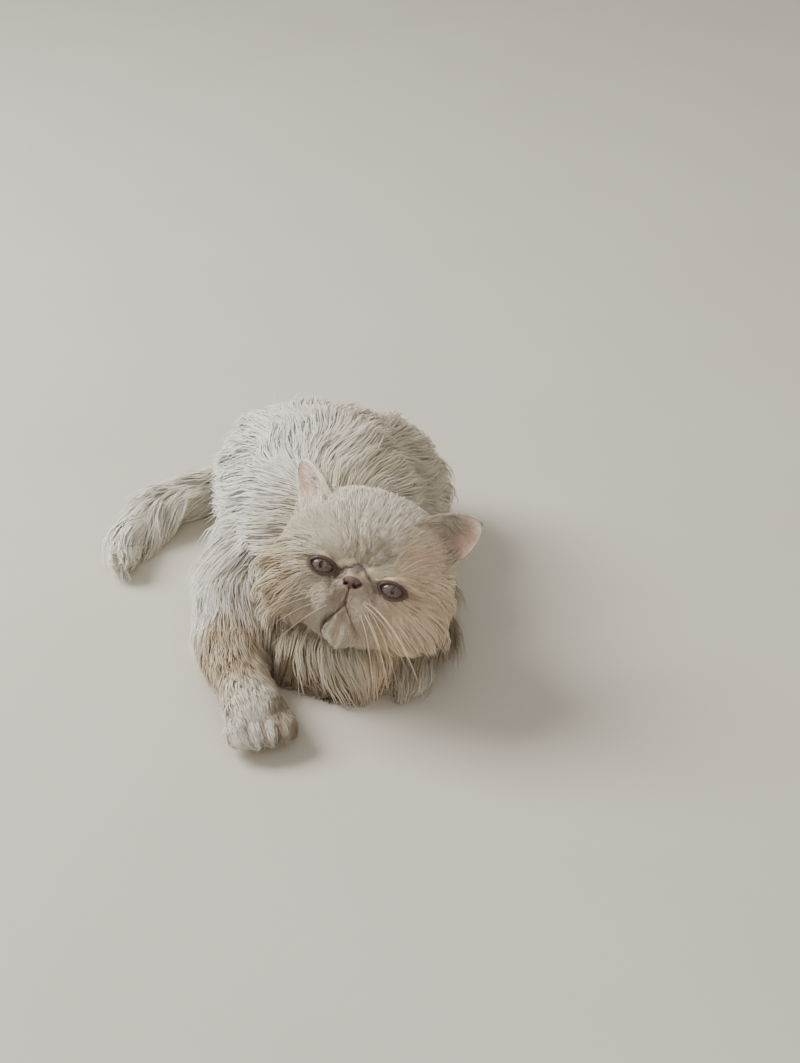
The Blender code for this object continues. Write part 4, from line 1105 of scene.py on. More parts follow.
    # Painted shade under the cat's left cheek
    under_cheek = smooth_step(-0.028, -0.046, up) * smooth_step(0.008, 0.020, signed)
    colors = blend(colors, WARM * 0.70, head * under_cheek * 0.6)
    # Painted shade in the fold from the right eye over the nose
    over_nose = along_line(signed, up, -0.0140, -0.0034, -0.0034, 0.0034, 0.0013)
    colors = blend(colors, TEAR_AND_SHADE_BROWN * 0.7, head * front * over_nose * 0.95)
    return colors * (1 + 0.05 * mottle(points, 0.012, 10))[:, None]


def bare_skin(points):
    """Masks of the nose leather and of the lips: 1 where no hair grows."""
    side, signed, up, front, _ = face_places(points)
    nose = smooth_step(1.25, 0.85, (side / 0.0066) ** 2 + ((up + 0.0068) / 0.0037) ** 2) * front
    mouth = np.maximum(
        along_line(side, up, 0.0, -0.0190, 0.0050, -0.0258, 0.0009),
        along_line(side, up, 0.0050, -0.0258, 0.0106, -0.0340, 0.0009),
    )
    philtrum = along_line(side, up, 0.0, -0.0100, 0.0, -0.0190, 0.0006) * 0.8
    # On its left the mouth closes behind the whiskers and shows only near the middle
    mouth = mouth * np.where(signed > 0, smooth_step(-0.0315, -0.0265, up), 1)
    lips = np.maximum(mouth, philtrum) * front
    nostril = np.maximum(
        along_line(side, up, 0.0020, -0.0076, 0.0034, -0.0084, 0.0012),
        along_line(side, up, 0.0034, -0.0084, 0.0056, -0.0062, 0.0008),
    ) * front
    return nose, lips, nostril


# %% Everything known about the skin's points, worked out once
def mesh_arrays(mesh):
    """Vertex places, vertex normals and triangles of a mesh as arrays."""
    count = len(mesh.vertices)
    places, normals = np.empty(count * 3), np.empty(count * 3)
    mesh.vertices.foreach_get("co", places)
    mesh.vertices.foreach_get("normal", normals)
    mesh.calc_loop_triangles()
    triangles = np.empty(len(mesh.loop_triangles) * 3, np.int32)
    mesh.loop_triangles.foreach_get("vertices", triangles)
    return places.reshape(-1, 3), normals.reshape(-1, 3), triangles.reshape(-1, 3)


skin_points, skin_normals, skin_triangles = mesh_arrays(skin.data)
skin_tree = BVHTree.FromPolygons(skin_points.tolist(), skin_triangles.tolist())
skin_part = np.vstack([shares(chunk) for chunk in np.array_split(skin_points, 24)])
skin_color = fur_color(skin_points, skin_part)
nose_mask, lip_mask, nostril_mask = bare_skin(skin_points)
around_eye = np.maximum(almond(face_places(skin_points)[0] - EYE_SPACING / 2, face_places(skin_points)[2] - EYE_HEIGHT) - 1.45, 0)
# The skin a little darker than its coat, more so on the head: painted shade between the hairs
painted = skin_color * (0.93 - 0.13 * skin_part[:, :1])
painted = blend(painted, TEAR_AND_SHADE_BROWN * 0.75, np.exp(-((around_eye / 0.25) ** 2)) * face_places(skin_points)[3] * 0.97)
painted = blend(painted, NOSE_LEATHER, nose_mask)
painted = blend(painted, LIP_DARK, lip_mask * 0.95)
# Painted shade inside the nostril openings
painted = blend(painted, LIP_DARK * 0.3, nostril_mask)
set_color(skin.data, "fur", painted)
print("skin triangles:", len(skin_triangles), "mean colour:", skin_color.mean(axis=0).round(3))

# %% [markdown]
# ## The lie of the coat
#
# Hair never stands at random. On a cat's face it streams away from the bridge of the nose: up over
# the forehead, out over the cheeks, down over the chin. The ruff fans out from the head and falls, the
# back's coat runs to the rump and down the flanks, and on the legs and tail it runs towards the
# tips. So each part gets a direction as a short formula, and the shares blend them.

# %% Direction of growth
BACK_LINE_X = -0.010


def unit(vectors):
    return vectors / np.maximum(np.linalg.norm(vectors, axis=-1, keepdims=True), 1e-9)


def path_tangent(points, path):
    """The direction of the path at its row nearest to each point."""
    _, row = distance_to_path(points, path)
    return unit(np.gradient(path[:, :3], axis=0))[row]


def head_flow(points):
    """Away from the bridge of the nose in the head's frame, with the weight of the hair on the cheeks."""
    local = to_head(points)
    side, up = local[:, 0], local[:, 2]
    away = np.stack([side * 26, np.full(len(points), 0.35), (up - 0.001) * 30], axis=1)
    away[:, 1] += 14 * np.maximum(local[:, 1] + 0.02, 0)
    flow = unit(away) @ HEAD_AXES.T
    weight = np.where(side > 0, 0.04, 0.32) * smooth_step(0.018, 0.045, np.abs(side)) * smooth_step(0.03, 0.0, up)
    flow = flow + weight[:, None] * np.array([0, 0, -1.0])
    for side, root in EAR_ROOT.items():
        near = np.exp(-((np.linalg.norm(points - from_head(root), axis=1) / 0.0145) ** 2))
        climb = from_head(np.array(root) + turn_about("Y", side * EAR_LEAN) @ (0, 0, 1.0)) - from_head(root)
        flow = flow + 1.2 * near[:, None] * climb
    return flow


def coat_flow(points, part):
    """The blended direction of growth, not yet laid flat on the skin."""
    outward = unit(points - HEAD_CENTRE)
    flank = np.where(points[:, 0] - SHIFT[0] > BACK_LINE_X, 0.14, -0.14)
    flank = flank - 0.55 * smooth_step(-0.025, -0.055, points[:, 0] - SHIFT[0])
    back = np.stack([flank, np.ones(len(points)), np.full(len(points), -0.55)], axis=1)
    near_out = distance_to_path(points, PATHS["foreleg_out"])[0] < distance_to_path(points, PATHS["foreleg_tucked"])[0]
    leg = np.where(
        near_out[:, None],
        path_tangent(points, PATHS["foreleg_out"]),
        path_tangent(points, PATHS["foreleg_tucked"]),
    )
    near_right = points[:, 0] < 0.02
    foot = np.where(
        near_right[:, None],
        path_tangent(points, PATHS["foot_right"]),
        path_tangent(points, PATHS["foot_left"]),
    )
    flows = (
        head_flow(points),
        outward + (0, 0.10, -0.75),
        back,
        leg + (0, 0.0, -0.35),
        leg,
        back,
        foot,
        path_tangent(points, PATHS["tail"]) + (0, 0, -0.15),
    )
    total = sum(part[:, k : k + 1] * unit(np.asarray(flow)) for k, flow in enumerate(flows))
    # Long soft hair parts into waves: the flow sways from place to place, most on ruff and flanks
    sway = part @ np.array([0.12, 0.55, 0.34, 0.12, 0.0, 0.34, 0.0, 0.15])
    waves = np.stack([mottle(points, 0.045, 21), mottle(points, 0.050, 22), 0.5 * mottle(points, 0.05, 23)], 1)
    # The left of the ruff, as the photo shows it, sweeps out over the shoulder
    sweep = part[:, 1] * smooth_step(0.010, -0.025, points[:, 0] - SHIFT[0])
    low = smooth_step(0.070, 0.040, points[:, 2])[:, None]
    sweep_way = np.array([-0.55, 0.0, 0.15]) * (1 - low) + np.array([-0.15, -0.75, -0.15]) * low
    return unit(total + sway[:, None] * waves + sweep[:, None] * sweep_way)


skin_flow = np.vstack(
    [coat_flow(p, s) for p, s in zip(np.array_split(skin_points, 24), np.array_split(skin_part, 24))]
)

# %% [markdown]
# ## How long, how high, how dense
#
# One row per part: the length of the hair along its own curve, how far its tip stands off the skin,
# the half width of a tuft, tufts on each square millimetre, and how strongly tufts gather into
# locks. The face has a finer map of its own: velvet on the muzzle, longer hair up the forehead, and
# full cheeks.

# %% The coat's table
COAT_TABLE = {
    # part: length, height, half width in millimetres, tufts per mm2, gathering
    "head": (17.0, 5.5, 0.35, 0.95, 0.50),
    "neck": (54.0, 18.0, 0.39, 1.28, 0.58),
    "torso": (38.0, 11.5, 0.42, 0.74, 0.30),
    "foreleg": (16.0, 4.5, 0.34, 0.76, 0.50),
    "paw": (7.5, 2.2, 0.26, 1.70, 0.30),
    "thigh": (35.0, 11.0, 0.43, 0.54, 0.30),
    "foot": (7.5, 2.0, 0.27, 1.60, 0.30),
    "tail": (40.0, 14.0, 0.44, 0.62, 0.70),
}
FACE_TABLE = {
    # zone: length, height, half width in millimetres, tufts per mm2, gathering
    "muzzle": (5.0, 1.0, 0.165, 3.6, 0.12),
    "eyes": (7.5, 1.7, 0.19, 2.7, 0.28),
    "forehead": (11.0, 2.8, 0.27, 1.32, 0.45),
    "cheek": (20.0, 8.5, 0.34, 0.86, 0.62),
    "chin": (11.0, 3.2, 0.24, 2.2, 0.60),
    "nape": (26.0, 10.0, 0.48, 0.34, 0.70),
}


def face_shares(points):
    """Shares of the head's zones, from the place in the head's frame."""
    side, _, up, front, depth = face_places(points)
    zones = np.stack(
        [
            front * bump(side, up, 0.0, -0.016, 0.017, 0.013) * 2.2,
            front * bump(side, up, 0.019, -0.001, 0.016, 0.013) * 1.6,
            front * smooth_step(0.010, 0.024, up) + (1 - front) * smooth_step(0.028, 0.045, up) * 0.8,
            smooth_step(0.022, 0.044, side) * smooth_step(0.026, 0.004, up) * 1.3,
            front * bump(side, up, 0.0, -0.040, 0.012, 0.009) * 2.0,
            smooth_step(0.0, 0.030, depth) * 1.6,
        ],
        axis=1,
    ) + 1e-4
    return zones / zones.sum(axis=1, keepdims=True)


body_rows = np.array([COAT_TABLE[name] for name in PART_NAMES])
face_rows = np.array([FACE_TABLE[name] for name in FACE_TABLE])
skin_coat = skin_part @ body_rows
skin_coat += skin_part[:, :1] * (face_shares(skin_points) @ face_rows - body_rows[0])
# On its right the cat's cheek runs on into the ruff, and round each ear's root the fur climbs the ear
_, signed_side, face_up, face_front, _ = face_places(skin_points)
long_cheek = smooth_step(-0.020, -0.042, signed_side) * smooth_step(0.012, -0.008, face_up)
skin_coat[:, :2] *= 1 + 0.55 * (skin_part[:, 0] * long_cheek)[:, None]
full_cheek = smooth_step(0.020, 0.042, signed_side) * smooth_step(0.020, -0.004, face_up)
skin_coat[:, :2] *= 1 + (skin_part[:, 0] * full_cheek)[:, None] * (0.10, 0.45)
short_left = smooth_step(0.008, 0.028, signed_side) * smooth_step(-0.012, -0.032, face_up)
skin_coat[:, :2] *= 1 - (skin_part[:, 0] * short_left)[:, None] * (0.36, 0.25)
# The lowest hair of the ruff, next to the stretched foreleg, is the longest and lies on the floor
low_ruff = skin_part[:, 1] * smooth_step(0.075, 0.040, skin_points[:, 2]) * smooth_step(0.03, 0.0, skin_points[:, 0] - SHIFT[0])
skin_coat[:, :2] *= 1 + low_ruff[:, None] * (0.35, 0.10)
# The right flank is where the photo's coat is fluffiest
flank = (skin_part[:, 2] + skin_part[:, 5]) * smooth_step(-0.022, -0.050, skin_points[:, 0] - SHIFT[0])
skin_coat[:, :2] *= 1 + flank[:, None] * (0.20, 0.45)
# Over the shoulder the body's long hair runs on down the upper foreleg
shoulder_fur = skin_part[:, 3] * smooth_step(-0.100, -0.050, skin_points[:, 1] - SHIFT[1])
skin_coat[:, :2] *= 1 + shoulder_fur[:, None] * (0.85, 1.1)
ear_fur = np.maximum(*(np.exp(-((np.linalg.norm(skin_points - from_head(EAR_ROOT[k]), axis=1) / 0.0145) ** 2)) for k in (-1, 1)))
behind = smooth_step(-0.006, 0.006, to_head(skin_points)[:, 1])
skin_coat[:, 0] += 5.0 * ear_fur
skin_coat[:, 1] += 5.5 * ear_fur * behind
# Inside the cup the hair is short and thin
cups = [from_head(np.array(EAR_ROOT[k]) + turn_about("Y", k * EAR_LEAN) @ (0, -0.004, 0.003)) for k in (-1, 1)]
in_cup = np.maximum(*(np.exp(-((np.linalg.norm(skin_points - cup, axis=1) / 0.0085) ** 2)) for cup in cups))
skin_coat[:, 0] -= 7.0 * in_cup * skin_part[:, 0]
in_opening = almond(
    face_places(skin_points)[0] - EYE_SPACING / 2, face_places(skin_points)[2] - EYE_HEIGHT
)
bare = np.clip(nose_mask + lip_mask + nostril_mask, 0, 1)
bare = np.maximum(bare, smooth_step(1.50, 1.25, in_opening) * face_places(skin_points)[3])
under = smooth_step(-0.2, -0.7, skin_normals[:, 2]) * smooth_step(0.020, 0.006, skin_points[:, 2])
thin = 0.6 * bump(face_places(skin_points)[0], face_places(skin_points)[2], 0.0, -0.0002, 0.0062, 0.0044)
skin_density = skin_coat[:, 3] * (1 - 0.6 * in_cup) * (1 - bare) * (1 - under) * (1 - thin * face_places(skin_points)[3]) * (1 - 0.7 * toe_gaps(skin_points))
print("mean length of the coat:", round(float(skin_coat[:, 0].mean()), 1), "mm")

# %% [markdown]
# ## Guides, and tufts that follow them
#
# Simulating each tuft would be slow and would look like noise. Hair artists comb a few thousand
# guide hairs and let the others follow. Here each guide walks over the skin along the lie of the
# coat and lifts off on the way. A tuft copies the mix of its three nearest guides and, towards its
# tip, draws in to the nearest of them. That drawing in is what parts a coat into pointed locks.

# %% Guide hairs
GUIDE_STEPS = 12
FLOOR_CLEAR = 0.0007
random = np.random.default_rng(2024)


def scatter(count, weight):
    """Random places on the skin, as triangle numbers and corner weights; weight is per vertex."""
    corners = skin_points[skin_triangles]
    area = 0.5 * np.linalg.norm(np.cross(corners[:, 1] - corners[:, 0], corners[:, 2] - corners[:, 0]), axis=1)
    amount = np.cumsum(area * weight[skin_triangles].mean(axis=1))
    # One draw in each equal share of the sum keeps the spread even
    picks = (np.arange(count) + random.random(count)) / count * amount[-1]
    triangle = np.minimum(np.searchsorted(amount, picks), len(area) - 1)
    a, b = np.sqrt(random.random(count)), random.random(count)
    return triangle, np.stack([1 - a, a * (1 - b), a * b], axis=1)


def read_at(field, triangle, corner):
    """A field of the skin's vertices, read inside triangles."""
    return np.einsum("nk,nk...->n...", corner, field[skin_triangles[triangle]])


def walk(roots, length, height):
    """Each root's path over the skin in equal steps, lifted by height x (1 - (1 - s)^2)."""
    paths = np.empty((len(roots), GUIDE_STEPS + 1, 3))
    ground, normal = roots.copy(), np.empty_like(roots)
    flow = np.empty_like(roots)
    for step in range(GUIDE_STEPS + 1):
        for i, place in enumerate(ground.tolist()):
            found, _, face, _ = skin_tree.find_nearest(place)
            ground[i] = found
            corners = skin_triangles[face]
            normal[i] = skin_normals[corners].sum(axis=0)
            flow[i] = skin_flow[corners].sum(axis=0)
        normal = unit(normal)
        s = step / GUIDE_STEPS
        paths[:, step] = ground + normal * (height * (1 - (1 - s) ** 2))[:, None]
        flat = unit(flow - normal * (flow * normal).sum(axis=1, keepdims=True))
        ground = ground + flat * (length / GUIDE_STEPS)[:, None]
    return paths


GUIDE_COUNT = 3400
guide_spacing = 2.2 + 0.16 * skin_coat[:, 0]
guide_face, guide_corner = scatter(GUIDE_COUNT, 1 / guide_spacing**2)
guide_root = read_at(skin_points, guide_face, guide_corner)
guide_coat = read_at(skin_coat, guide_face, guide_corner)
guide_length = guide_coat[:, 0] * 1e-3 * random.uniform(0.85, 1.15, GUIDE_COUNT)
guide_height = guide_coat[:, 1] * 1e-3 * random.uniform(0.8, 1.2, GUIDE_COUNT)
guides = walk(guide_root, guide_length, guide_height)
s = np.linspace(0, 1, GUIDE_STEPS + 1)
# Each lock swings a little to one side and back, and its tip sags
up_from_skin = unit(read_at(skin_normals, guide_face, guide_corner))
swing = unit(np.cross(guides[:, 4] - guides[:, 0], up_from_skin))
amount = guide_length * random.normal(0, 0.095, GUIDE_COUNT)
phase = random.uniform(2.4, 5.2, GUIDE_COUNT)
guides += (amount[:, None] * np.sin(s * phase[:, None]) * s)[..., None] * swing[:, None]
guides[..., 2] -= 0.08 * guide_length[:, None] * s**3


def gather_guides(spacing, strength):
    """Draws guides, towards their tips, to the nearest of a sparser set: large locks made of small."""
    leaders = []
    for i in random.permutation(GUIDE_COUNT):
        reach = spacing * guide_coat[i, 0] / 40
        near = guides[leaders, 0] - guides[i, 0] if leaders else np.empty((0, 3))
        if not len(near) or (near**2).sum(axis=1).min() > reach**2:
            leaders.append(i)
    gap = ((guides[:, None, 0] - guides[None, leaders, 0]) ** 2).sum(axis=2)
    leader = np.array(leaders)[gap.argmin(axis=1)]
    apart = (guides[leader, 0] - guides[:, 0])[:, None]
    guides[:] += apart * (strength * s**1.6)[None, :, None]
    return len(leaders)


print("large locks:", gather_guides(0.017, 0.34))
guides[..., 2] = np.maximum(guides[..., 2], FLOOR_CLEAR + 0.002 * s)
guide_tree = KDTree(GUIDE_COUNT)
for i, place in enumerate(guide_root.tolist()):
    guide_tree.insert(place, i)
guide_tree.balance()
guide_shade = 1 + random.normal(0, 0.035, GUIDE_COUNT)
print("guides:", GUIDE_COUNT, "mean length", round(float(guide_length.mean() * 1000), 1), "mm")

# %% [markdown]
# ## A tuft
#
# A tuft is a closed sliver: a flat triangle for a section, drawn out along the path and down to a
# point. Short ones need two rings, long ones four, so most of the triangles go where a curve shows.
# Every tuft also gets a small patch of the UV map, at its root's place on the unwrapped skin,
# so that a baked picture holds its own colours.

# %% Tufts as arrays
PATCH = 0.003
SOFTNESS = 0.70


def sliver_faces(rings):
    """Quads and triangles of one sliver with that many rings and a tip, as vertex numbers."""
    quads = [
        (r * 3 + k, r * 3 + (k + 1) % 3, (r + 1) * 3 + (k + 1) % 3, (r + 1) * 3 + k)
        for r in range(rings - 1)
        for k in range(3)
    ]
    last, tip = (rings - 1) * 3, rings * 3
    caps = [(last + k, last + (k + 1) % 3, tip) for k in range(3)] + [(2, 1, 0)]
    return np.array(quads, np.int32).reshape(-1, 4), np.array(caps, np.int32)


def slivers(paths, half_width, facing, colors, unwrap, skin_way):
    """Vertices, quads, triangles, colours, UVs and normals of closed slivers along paths (n, k, 3).

    The section is a triangle, 2w wide and 0.55w high, whose ridge looks the way of facing; w follows
    the profile (0.6, 1, 0.86, 0.55) down to the tip. Each normal is SOFTNESS x the skin's own
    (skin_way) + (1 - SOFTNESS) x the sliver's, so light runs over a lock as over one soft form.
    """
    count, stations = paths.shape[:2]
    rings = stations - 1
    along = unit(np.gradient(paths, axis=1))[:, :rings]
    across = unit(np.cross(along, facing[:, None]))
    ridge = np.cross(across, along)
    profile = np.interp(np.arange(rings) / rings, [0, 0.25, 0.5, 0.75, 1], [0.60, 1.0, 0.86, 0.55, 0.3])
    w = (half_width[:, None] * profile)[..., None]
    centre = paths[:, :rings]
    ring = np.stack([centre - across * w, centre + ridge * w * 0.55, centre + across * w], axis=2)
    own = np.stack([ridge - across, ridge, ridge + across], axis=2).reshape(count, rings * 3, 3)
    own = unit(np.concatenate([own, ridge[:, -1:]], axis=1))
    normals = unit(SOFTNESS * skin_way[:, None] + (1 - SOFTNESS) * own)
    points = np.concatenate([ring.reshape(count, rings * 3, 3), paths[:, -1:]], axis=1)
    tints = np.concatenate([np.repeat(colors[:, :rings], 3, axis=1), colors[:, -1:]], axis=1)
    v = np.append(np.repeat(np.arange(rings) / rings, 3), 1.0) - 0.5
    u = np.append(np.tile([-0.5, 0.0, 0.5], rings), 0.0)
    uvs = unwrap[:, None] + PATCH * np.stack([u, v], axis=-1)[None]
    quads, caps = sliver_faces(rings)
    start = (np.arange(count, dtype=np.int32) * (rings * 3 + 1))[:, None, None]
    size = rings * 3 + 1
    return (
        points.reshape(-1, 3),
        (quads[None] + start).reshape(-1, 4),
        (caps[None] + start).reshape(-1, 3),
        tints.reshape(-1, 3),
        uvs.reshape(count * size, 2),
        normals.reshape(-1, 3),
    )


def coat_piece(name, groups, material):
    """One mesh object from several results of slivers()."""
    points, quads, caps, tints, uvs, normals, start = [], [], [], [], [], [], 0
    for group in groups:
        points.append(group[0])
        quads.append(group[1] + start)
        caps.append(group[2] + start)
        tints.append(group[3])
        uvs.append(group[4])
        normals.append(group[5])
        start += len(group[0])
    points, quads, caps = np.vstack(points), np.vstack(quads), np.vstack(caps)
    tints, uvs = np.vstack(tints), np.vstack(uvs)
    mesh = bpy.data.meshes.new(name)
    mesh.vertices.add(len(points))
    mesh.vertices.foreach_set("co", points.ravel())
    mesh.loops.add(len(quads) * 4 + len(caps) * 3)
    corner_vertex = np.concatenate([quads.ravel(), caps.ravel()]).astype(np.int32)
    mesh.loops.foreach_set("vertex_index", corner_vertex)
    mesh.polygons.add(len(quads) + len(caps))
    starts = np.concatenate([np.arange(len(quads)) * 4, len(quads) * 4 + np.arange(len(caps)) * 3])
    mesh.polygons.foreach_set("loop_start", starts.astype(np.int32))
    mesh.update(calc_edges=True)
    mesh.validate()
    layer = mesh.uv_layers.new(name="OFBake")
    layer.data.foreach_set("uv", np.clip(uvs, 0, 1)[corner_vertex].astype(np.float32).ravel())
    set_color(mesh, "fur", tints)
    mesh.shade_smooth()
    mesh.normals_split_custom_set_from_vertices(np.vstack(normals).astype(np.float32))
    mesh.materials.append(material)
    piece = new_piece(name, mesh)
    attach(piece, "root")
    print(f"{name}: {len(quads) * 2 + len(caps)} triangles")
    return piece


# %% [markdown]
# ## The coat's material
#
# Cream hair scatters light so well that its shadows stay soft and its edges glow. The surface
# is rough, with a sheen set directly on the shader for that glow, a weak gloss, and fine
# streaks of noise that break up the colour. Its colour comes from the attribute that skin and
# tufts share.

# %% Skin and hair materials


def coat_material(name, streaks, roughness, sheen, soft):
    made = bpy.data.materials.new(name)
    made.use_nodes = True
    nodes, links = made.node_tree.nodes, made.node_tree.links
    shader = nodes["Principled BSDF"]
    tint = nodes.new("ShaderNodeAttribute")
    tint.attribute_name = "fur"
    place = nodes.new("ShaderNodeTexCoord")
    noise = nodes.new("ShaderNodeTexNoise")
    noise.inputs["Scale"].default_value = streaks
    noise.inputs["Detail"].default_value = 3.0
    links.new(place.outputs["Object"], noise.inputs["Vector"])
    shade = nodes.new("ShaderNodeMapRange")
    shade.inputs["From Min"].default_value = 0.3
    shade.inputs["From Max"].default_value = 0.7
    shade.inputs["To Min"].default_value = 0.90
    shade.inputs["To Max"].default_value = 1.08
    links.new(noise.outputs["Fac"], shade.inputs["Value"])
    scaled = nodes.new("ShaderNodeVectorMath")
    scaled.operation = "SCALE"
    links.new(tint.outputs["Color"], scaled.inputs[0])
    links.new(shade.outputs["Result"], scaled.inputs["Scale"])
    links.new(scaled.outputs["Vector"], shader.inputs["Base Color"])
    bumps = nodes.new("ShaderNodeBump")
    bumps.inputs["Strength"].default_value = 0.2
    bumps.inputs["Distance"].default_value = 0.0003
    links.new(noise.outputs["Fac"], bumps.inputs["Height"])
    links.new(bumps.outputs["Normal"], shader.inputs["Normal"])
    shader.inputs["Roughness"].default_value = roughness
    shader.inputs["Specular IOR Level"].default_value = 0.16
    shader.inputs["Sheen Weight"].default_value = sheen
    shader.inputs["Sheen Roughness"].default_value = 0.5
    shader.inputs["Subsurface Weight"].default_value = soft
    shader.inputs["Subsurface Radius"].default_value = (1.0, 0.8, 0.6)
    shader.inputs["Subsurface Scale"].default_value = 0.0018
    return made


skin_material = coat_material("cream_skin", 900.0, 0.70, 0.05, 0.0)
hair_material = coat_material("cream_hair", 700.0, 0.70, 0.06, 0.55)
skin.data.materials.clear()
skin.data.materials.append(skin_material)

# %% [markdown]
# ## Growing the coat
#
# About eighty thousand tufts, each placed at random but evenly, with its length, width and colour
# read from the skin. Roots are darker than tips, because light hardly reaches them, and
# every lock is a shade lighter or darker than the next.

# %% Tufts all over
TUFT_SCALE = 1.0
corner_points = skin_points[skin_triangles]
triangle_area = 0.5 * np.linalg.norm(
    np.cross(corner_points[:, 1] - corner_points[:, 0], corner_points[:, 2] - corner_points[:, 0]), axis=1
)
tuft_count = int(TUFT_SCALE * (triangle_area * 1e6 * skin_density[skin_triangles].mean(axis=1)).sum())
tuft_face, tuft_corner = scatter(tuft_count, skin_density)
tuft_root = read_at(skin_points, tuft_face, tuft_corner)
tuft_normal = unit(read_at(skin_normals, tuft_face, tuft_corner))
tuft_coat = read_at(skin_coat, tuft_face, tuft_corner)
tuft_part = read_at(skin_part, tuft_face, tuft_corner)
tuft_color = read_at(skin_color, tuft_face, tuft_corner)
print("tufts:", tuft_count)


def nearest_guides(roots, count=3):
    """The numbers of the nearest guides, nearest first, and their shares by 1 / distance^2."""
    number = np.empty((len(roots), count), np.int64)
    gap = np.empty((len(roots), count))
    for i, place in enumerate(roots.tolist()):
        for k, (_, index, distance) in enumerate(guide_tree.find_n(place, count)):
            number[i, k], gap[i, k] = index, distance
    share = 1 / (gap + 5e-4) ** 2
    return number, share / share.sum(axis=1, keepdims=True)


guide_number, guide_weight = nearest_guides(tuft_root)
# A guide whose way differs much from the nearest one's belongs to another part and is left out
ways = unit(guides[:, -1] - guides[:, 0])
agree = (ways[guide_number] * ways[guide_number[:, :1]]).sum(axis=2)
guide_weight = guide_weight * smooth_step(0.2, 0.8, agree)
guide_weight /= guide_weight.sum(axis=1, keepdims=True)
nearest = guide_number[:, 0]
cut = 1.06 - 0.54 * random.random(tuft_count) ** 1.5
cut *= np.clip(tuft_coat[:, 0] * 1e-3 / guide_length[nearest], 0.6, 1.4)
gathering = tuft_coat[:, 4] * random.uniform(0.75, 1.1, tuft_count)
aside = random.normal(0, 1, (tuft_count, 3)) * (tuft_coat[:, 0] * 1e-3 * 0.045)[:, None]
flyaway = random.random(tuft_count) < 0.07
aside[flyaway] *= 2.4
roll = random.normal(0, 0.55, tuft_count)
# Short tufts get three stations, long ones that lie on top five
short = (tuft_coat[:, 0] < 9) | (cut < 0.83)
tuft_stations = np.where(short, 3, np.where((tuft_coat[:, 0] > 22) & (cut > 1.03), 5, 4))
shade = guide_shade[nearest] * random.normal(1, 0.035, tuft_count)


def tuft_paths(pick, stations):
    """root + cut x mixed guide + gathering x s^1.4 x (own guide's root - root) + aside x s^2."""
    at = np.linspace(0, GUIDE_STEPS, stations)
    low = np.minimum(at.astype(int), GUIDE_STEPS - 1)
    part_way = (at - low)[None, :, None]
    shifts = guides - guides[:, :1]
    shifts = shifts[:, low] * (1 - part_way) + shifts[:, low + 1] * part_way
    mixed = np.einsum("nk,nksd->nsd", guide_weight[pick], shifts[guide_number[pick]])
    s = np.linspace(0, 1, stations)[None, :, None]
    paths = tuft_root[pick][:, None] + mixed * cut[pick][:, None, None]
    paths += (guide_root[nearest[pick]] - tuft_root[pick])[:, None] * gathering[pick][:, None, None] * s**1.4
    paths += aside[pick][:, None] * s**2
    paths[:, 0] -= tuft_normal[pick] * 0.0006
    # Hair that would lie across an open eye is worn short there
    x, y, z = np.moveaxis((paths - HEAD_CENTRE) @ HEAD_AXES, -1, 0)
    over_eye = (almond(np.abs(x) - EYE_SPACING / 2, z - EYE_HEIGHT) < 1.25) & (y < -0.02)
    short = np.where(over_eye.any(axis=1), 0.30, 1.0)[:, None, None]
    paths = paths[:, :1] + (paths - paths[:, :1]) * short
    floor_height = FLOOR_CLEAR + 0.0015 * (pick % 17)[:, None] / 17
    paths[..., 2] = np.maximum(paths[..., 2], floor_height)
    return paths


def region_unwrap(points, region):
    """Where each root lies on an unwrap of its region: round it, and along it, both from 0 to 1."""
    if region == "head":
        local = unit(to_head(points))
        u = np.arctan2(local[:, 0], -local[:, 1]) / (2 * math.pi) + 0.5
        v = np.arccos(np.clip(local[:, 2], -1, 1)) / math.pi
    elif region == "neck":
        local = unit(points - SHIFT - NECK[0])
        u = np.arctan2(local[:, 0], -local[:, 1]) / (2 * math.pi) + 0.5
        v = np.arccos(np.clip(local[:, 2], -1, 1)) / math.pi
    else:
        path = PATHS[region]
        _, row = distance_to_path(points, path)
        along = unit(np.gradient(path[:, :3], axis=0))[row]
        offset = points - path[row, :3]
        across = unit(np.cross(along, (0.0, 0.0, 1.0)))
        over = np.cross(across, along)
        u = np.arctan2((offset * across).sum(axis=1), (offset * over).sum(axis=1)) / (2 * math.pi) + 0.5
        v = (row + 0.5) / len(path)
    return 0.004 + 0.992 * np.stack([u, v], axis=1)


def grow(pick, region):
    """Slivers for the picked tufts, in three groups by length."""
    groups = []
    for stations in (3, 4, 5):
        own = pick[tuft_stations[pick] == stations]
        if not len(own):
            continue
        paths = tuft_paths(own, stations)
        normal = tuft_normal[own]
        way = unit(paths[:, 1] - paths[:, 0])
        sideways = unit(np.cross(way, normal))
        facing = unit(normal * np.cos(roll[own])[:, None] + sideways * np.sin(roll[own])[:, None])
        s = np.linspace(0, 1, stations)[None, :, None]
        depth = 0.94 + 0.08 * s**0.8
        colors = tuft_color[own][:, None] * depth * shade[own][:, None, None]
        colors = np.clip(colors, 0.01, 0.93)
        half_width = tuft_coat[own, 2] * 1e-3 * (0.8 + 0.4 * cut[own]) * np.where(flyaway[own], 0.5, 1.0)
        unwrap = region_unwrap(tuft_root[own], region)
        groups.append(slivers(paths, half_width, facing, colors, unwrap, unit(normal + (0, 0, 0.25))))
    return groups


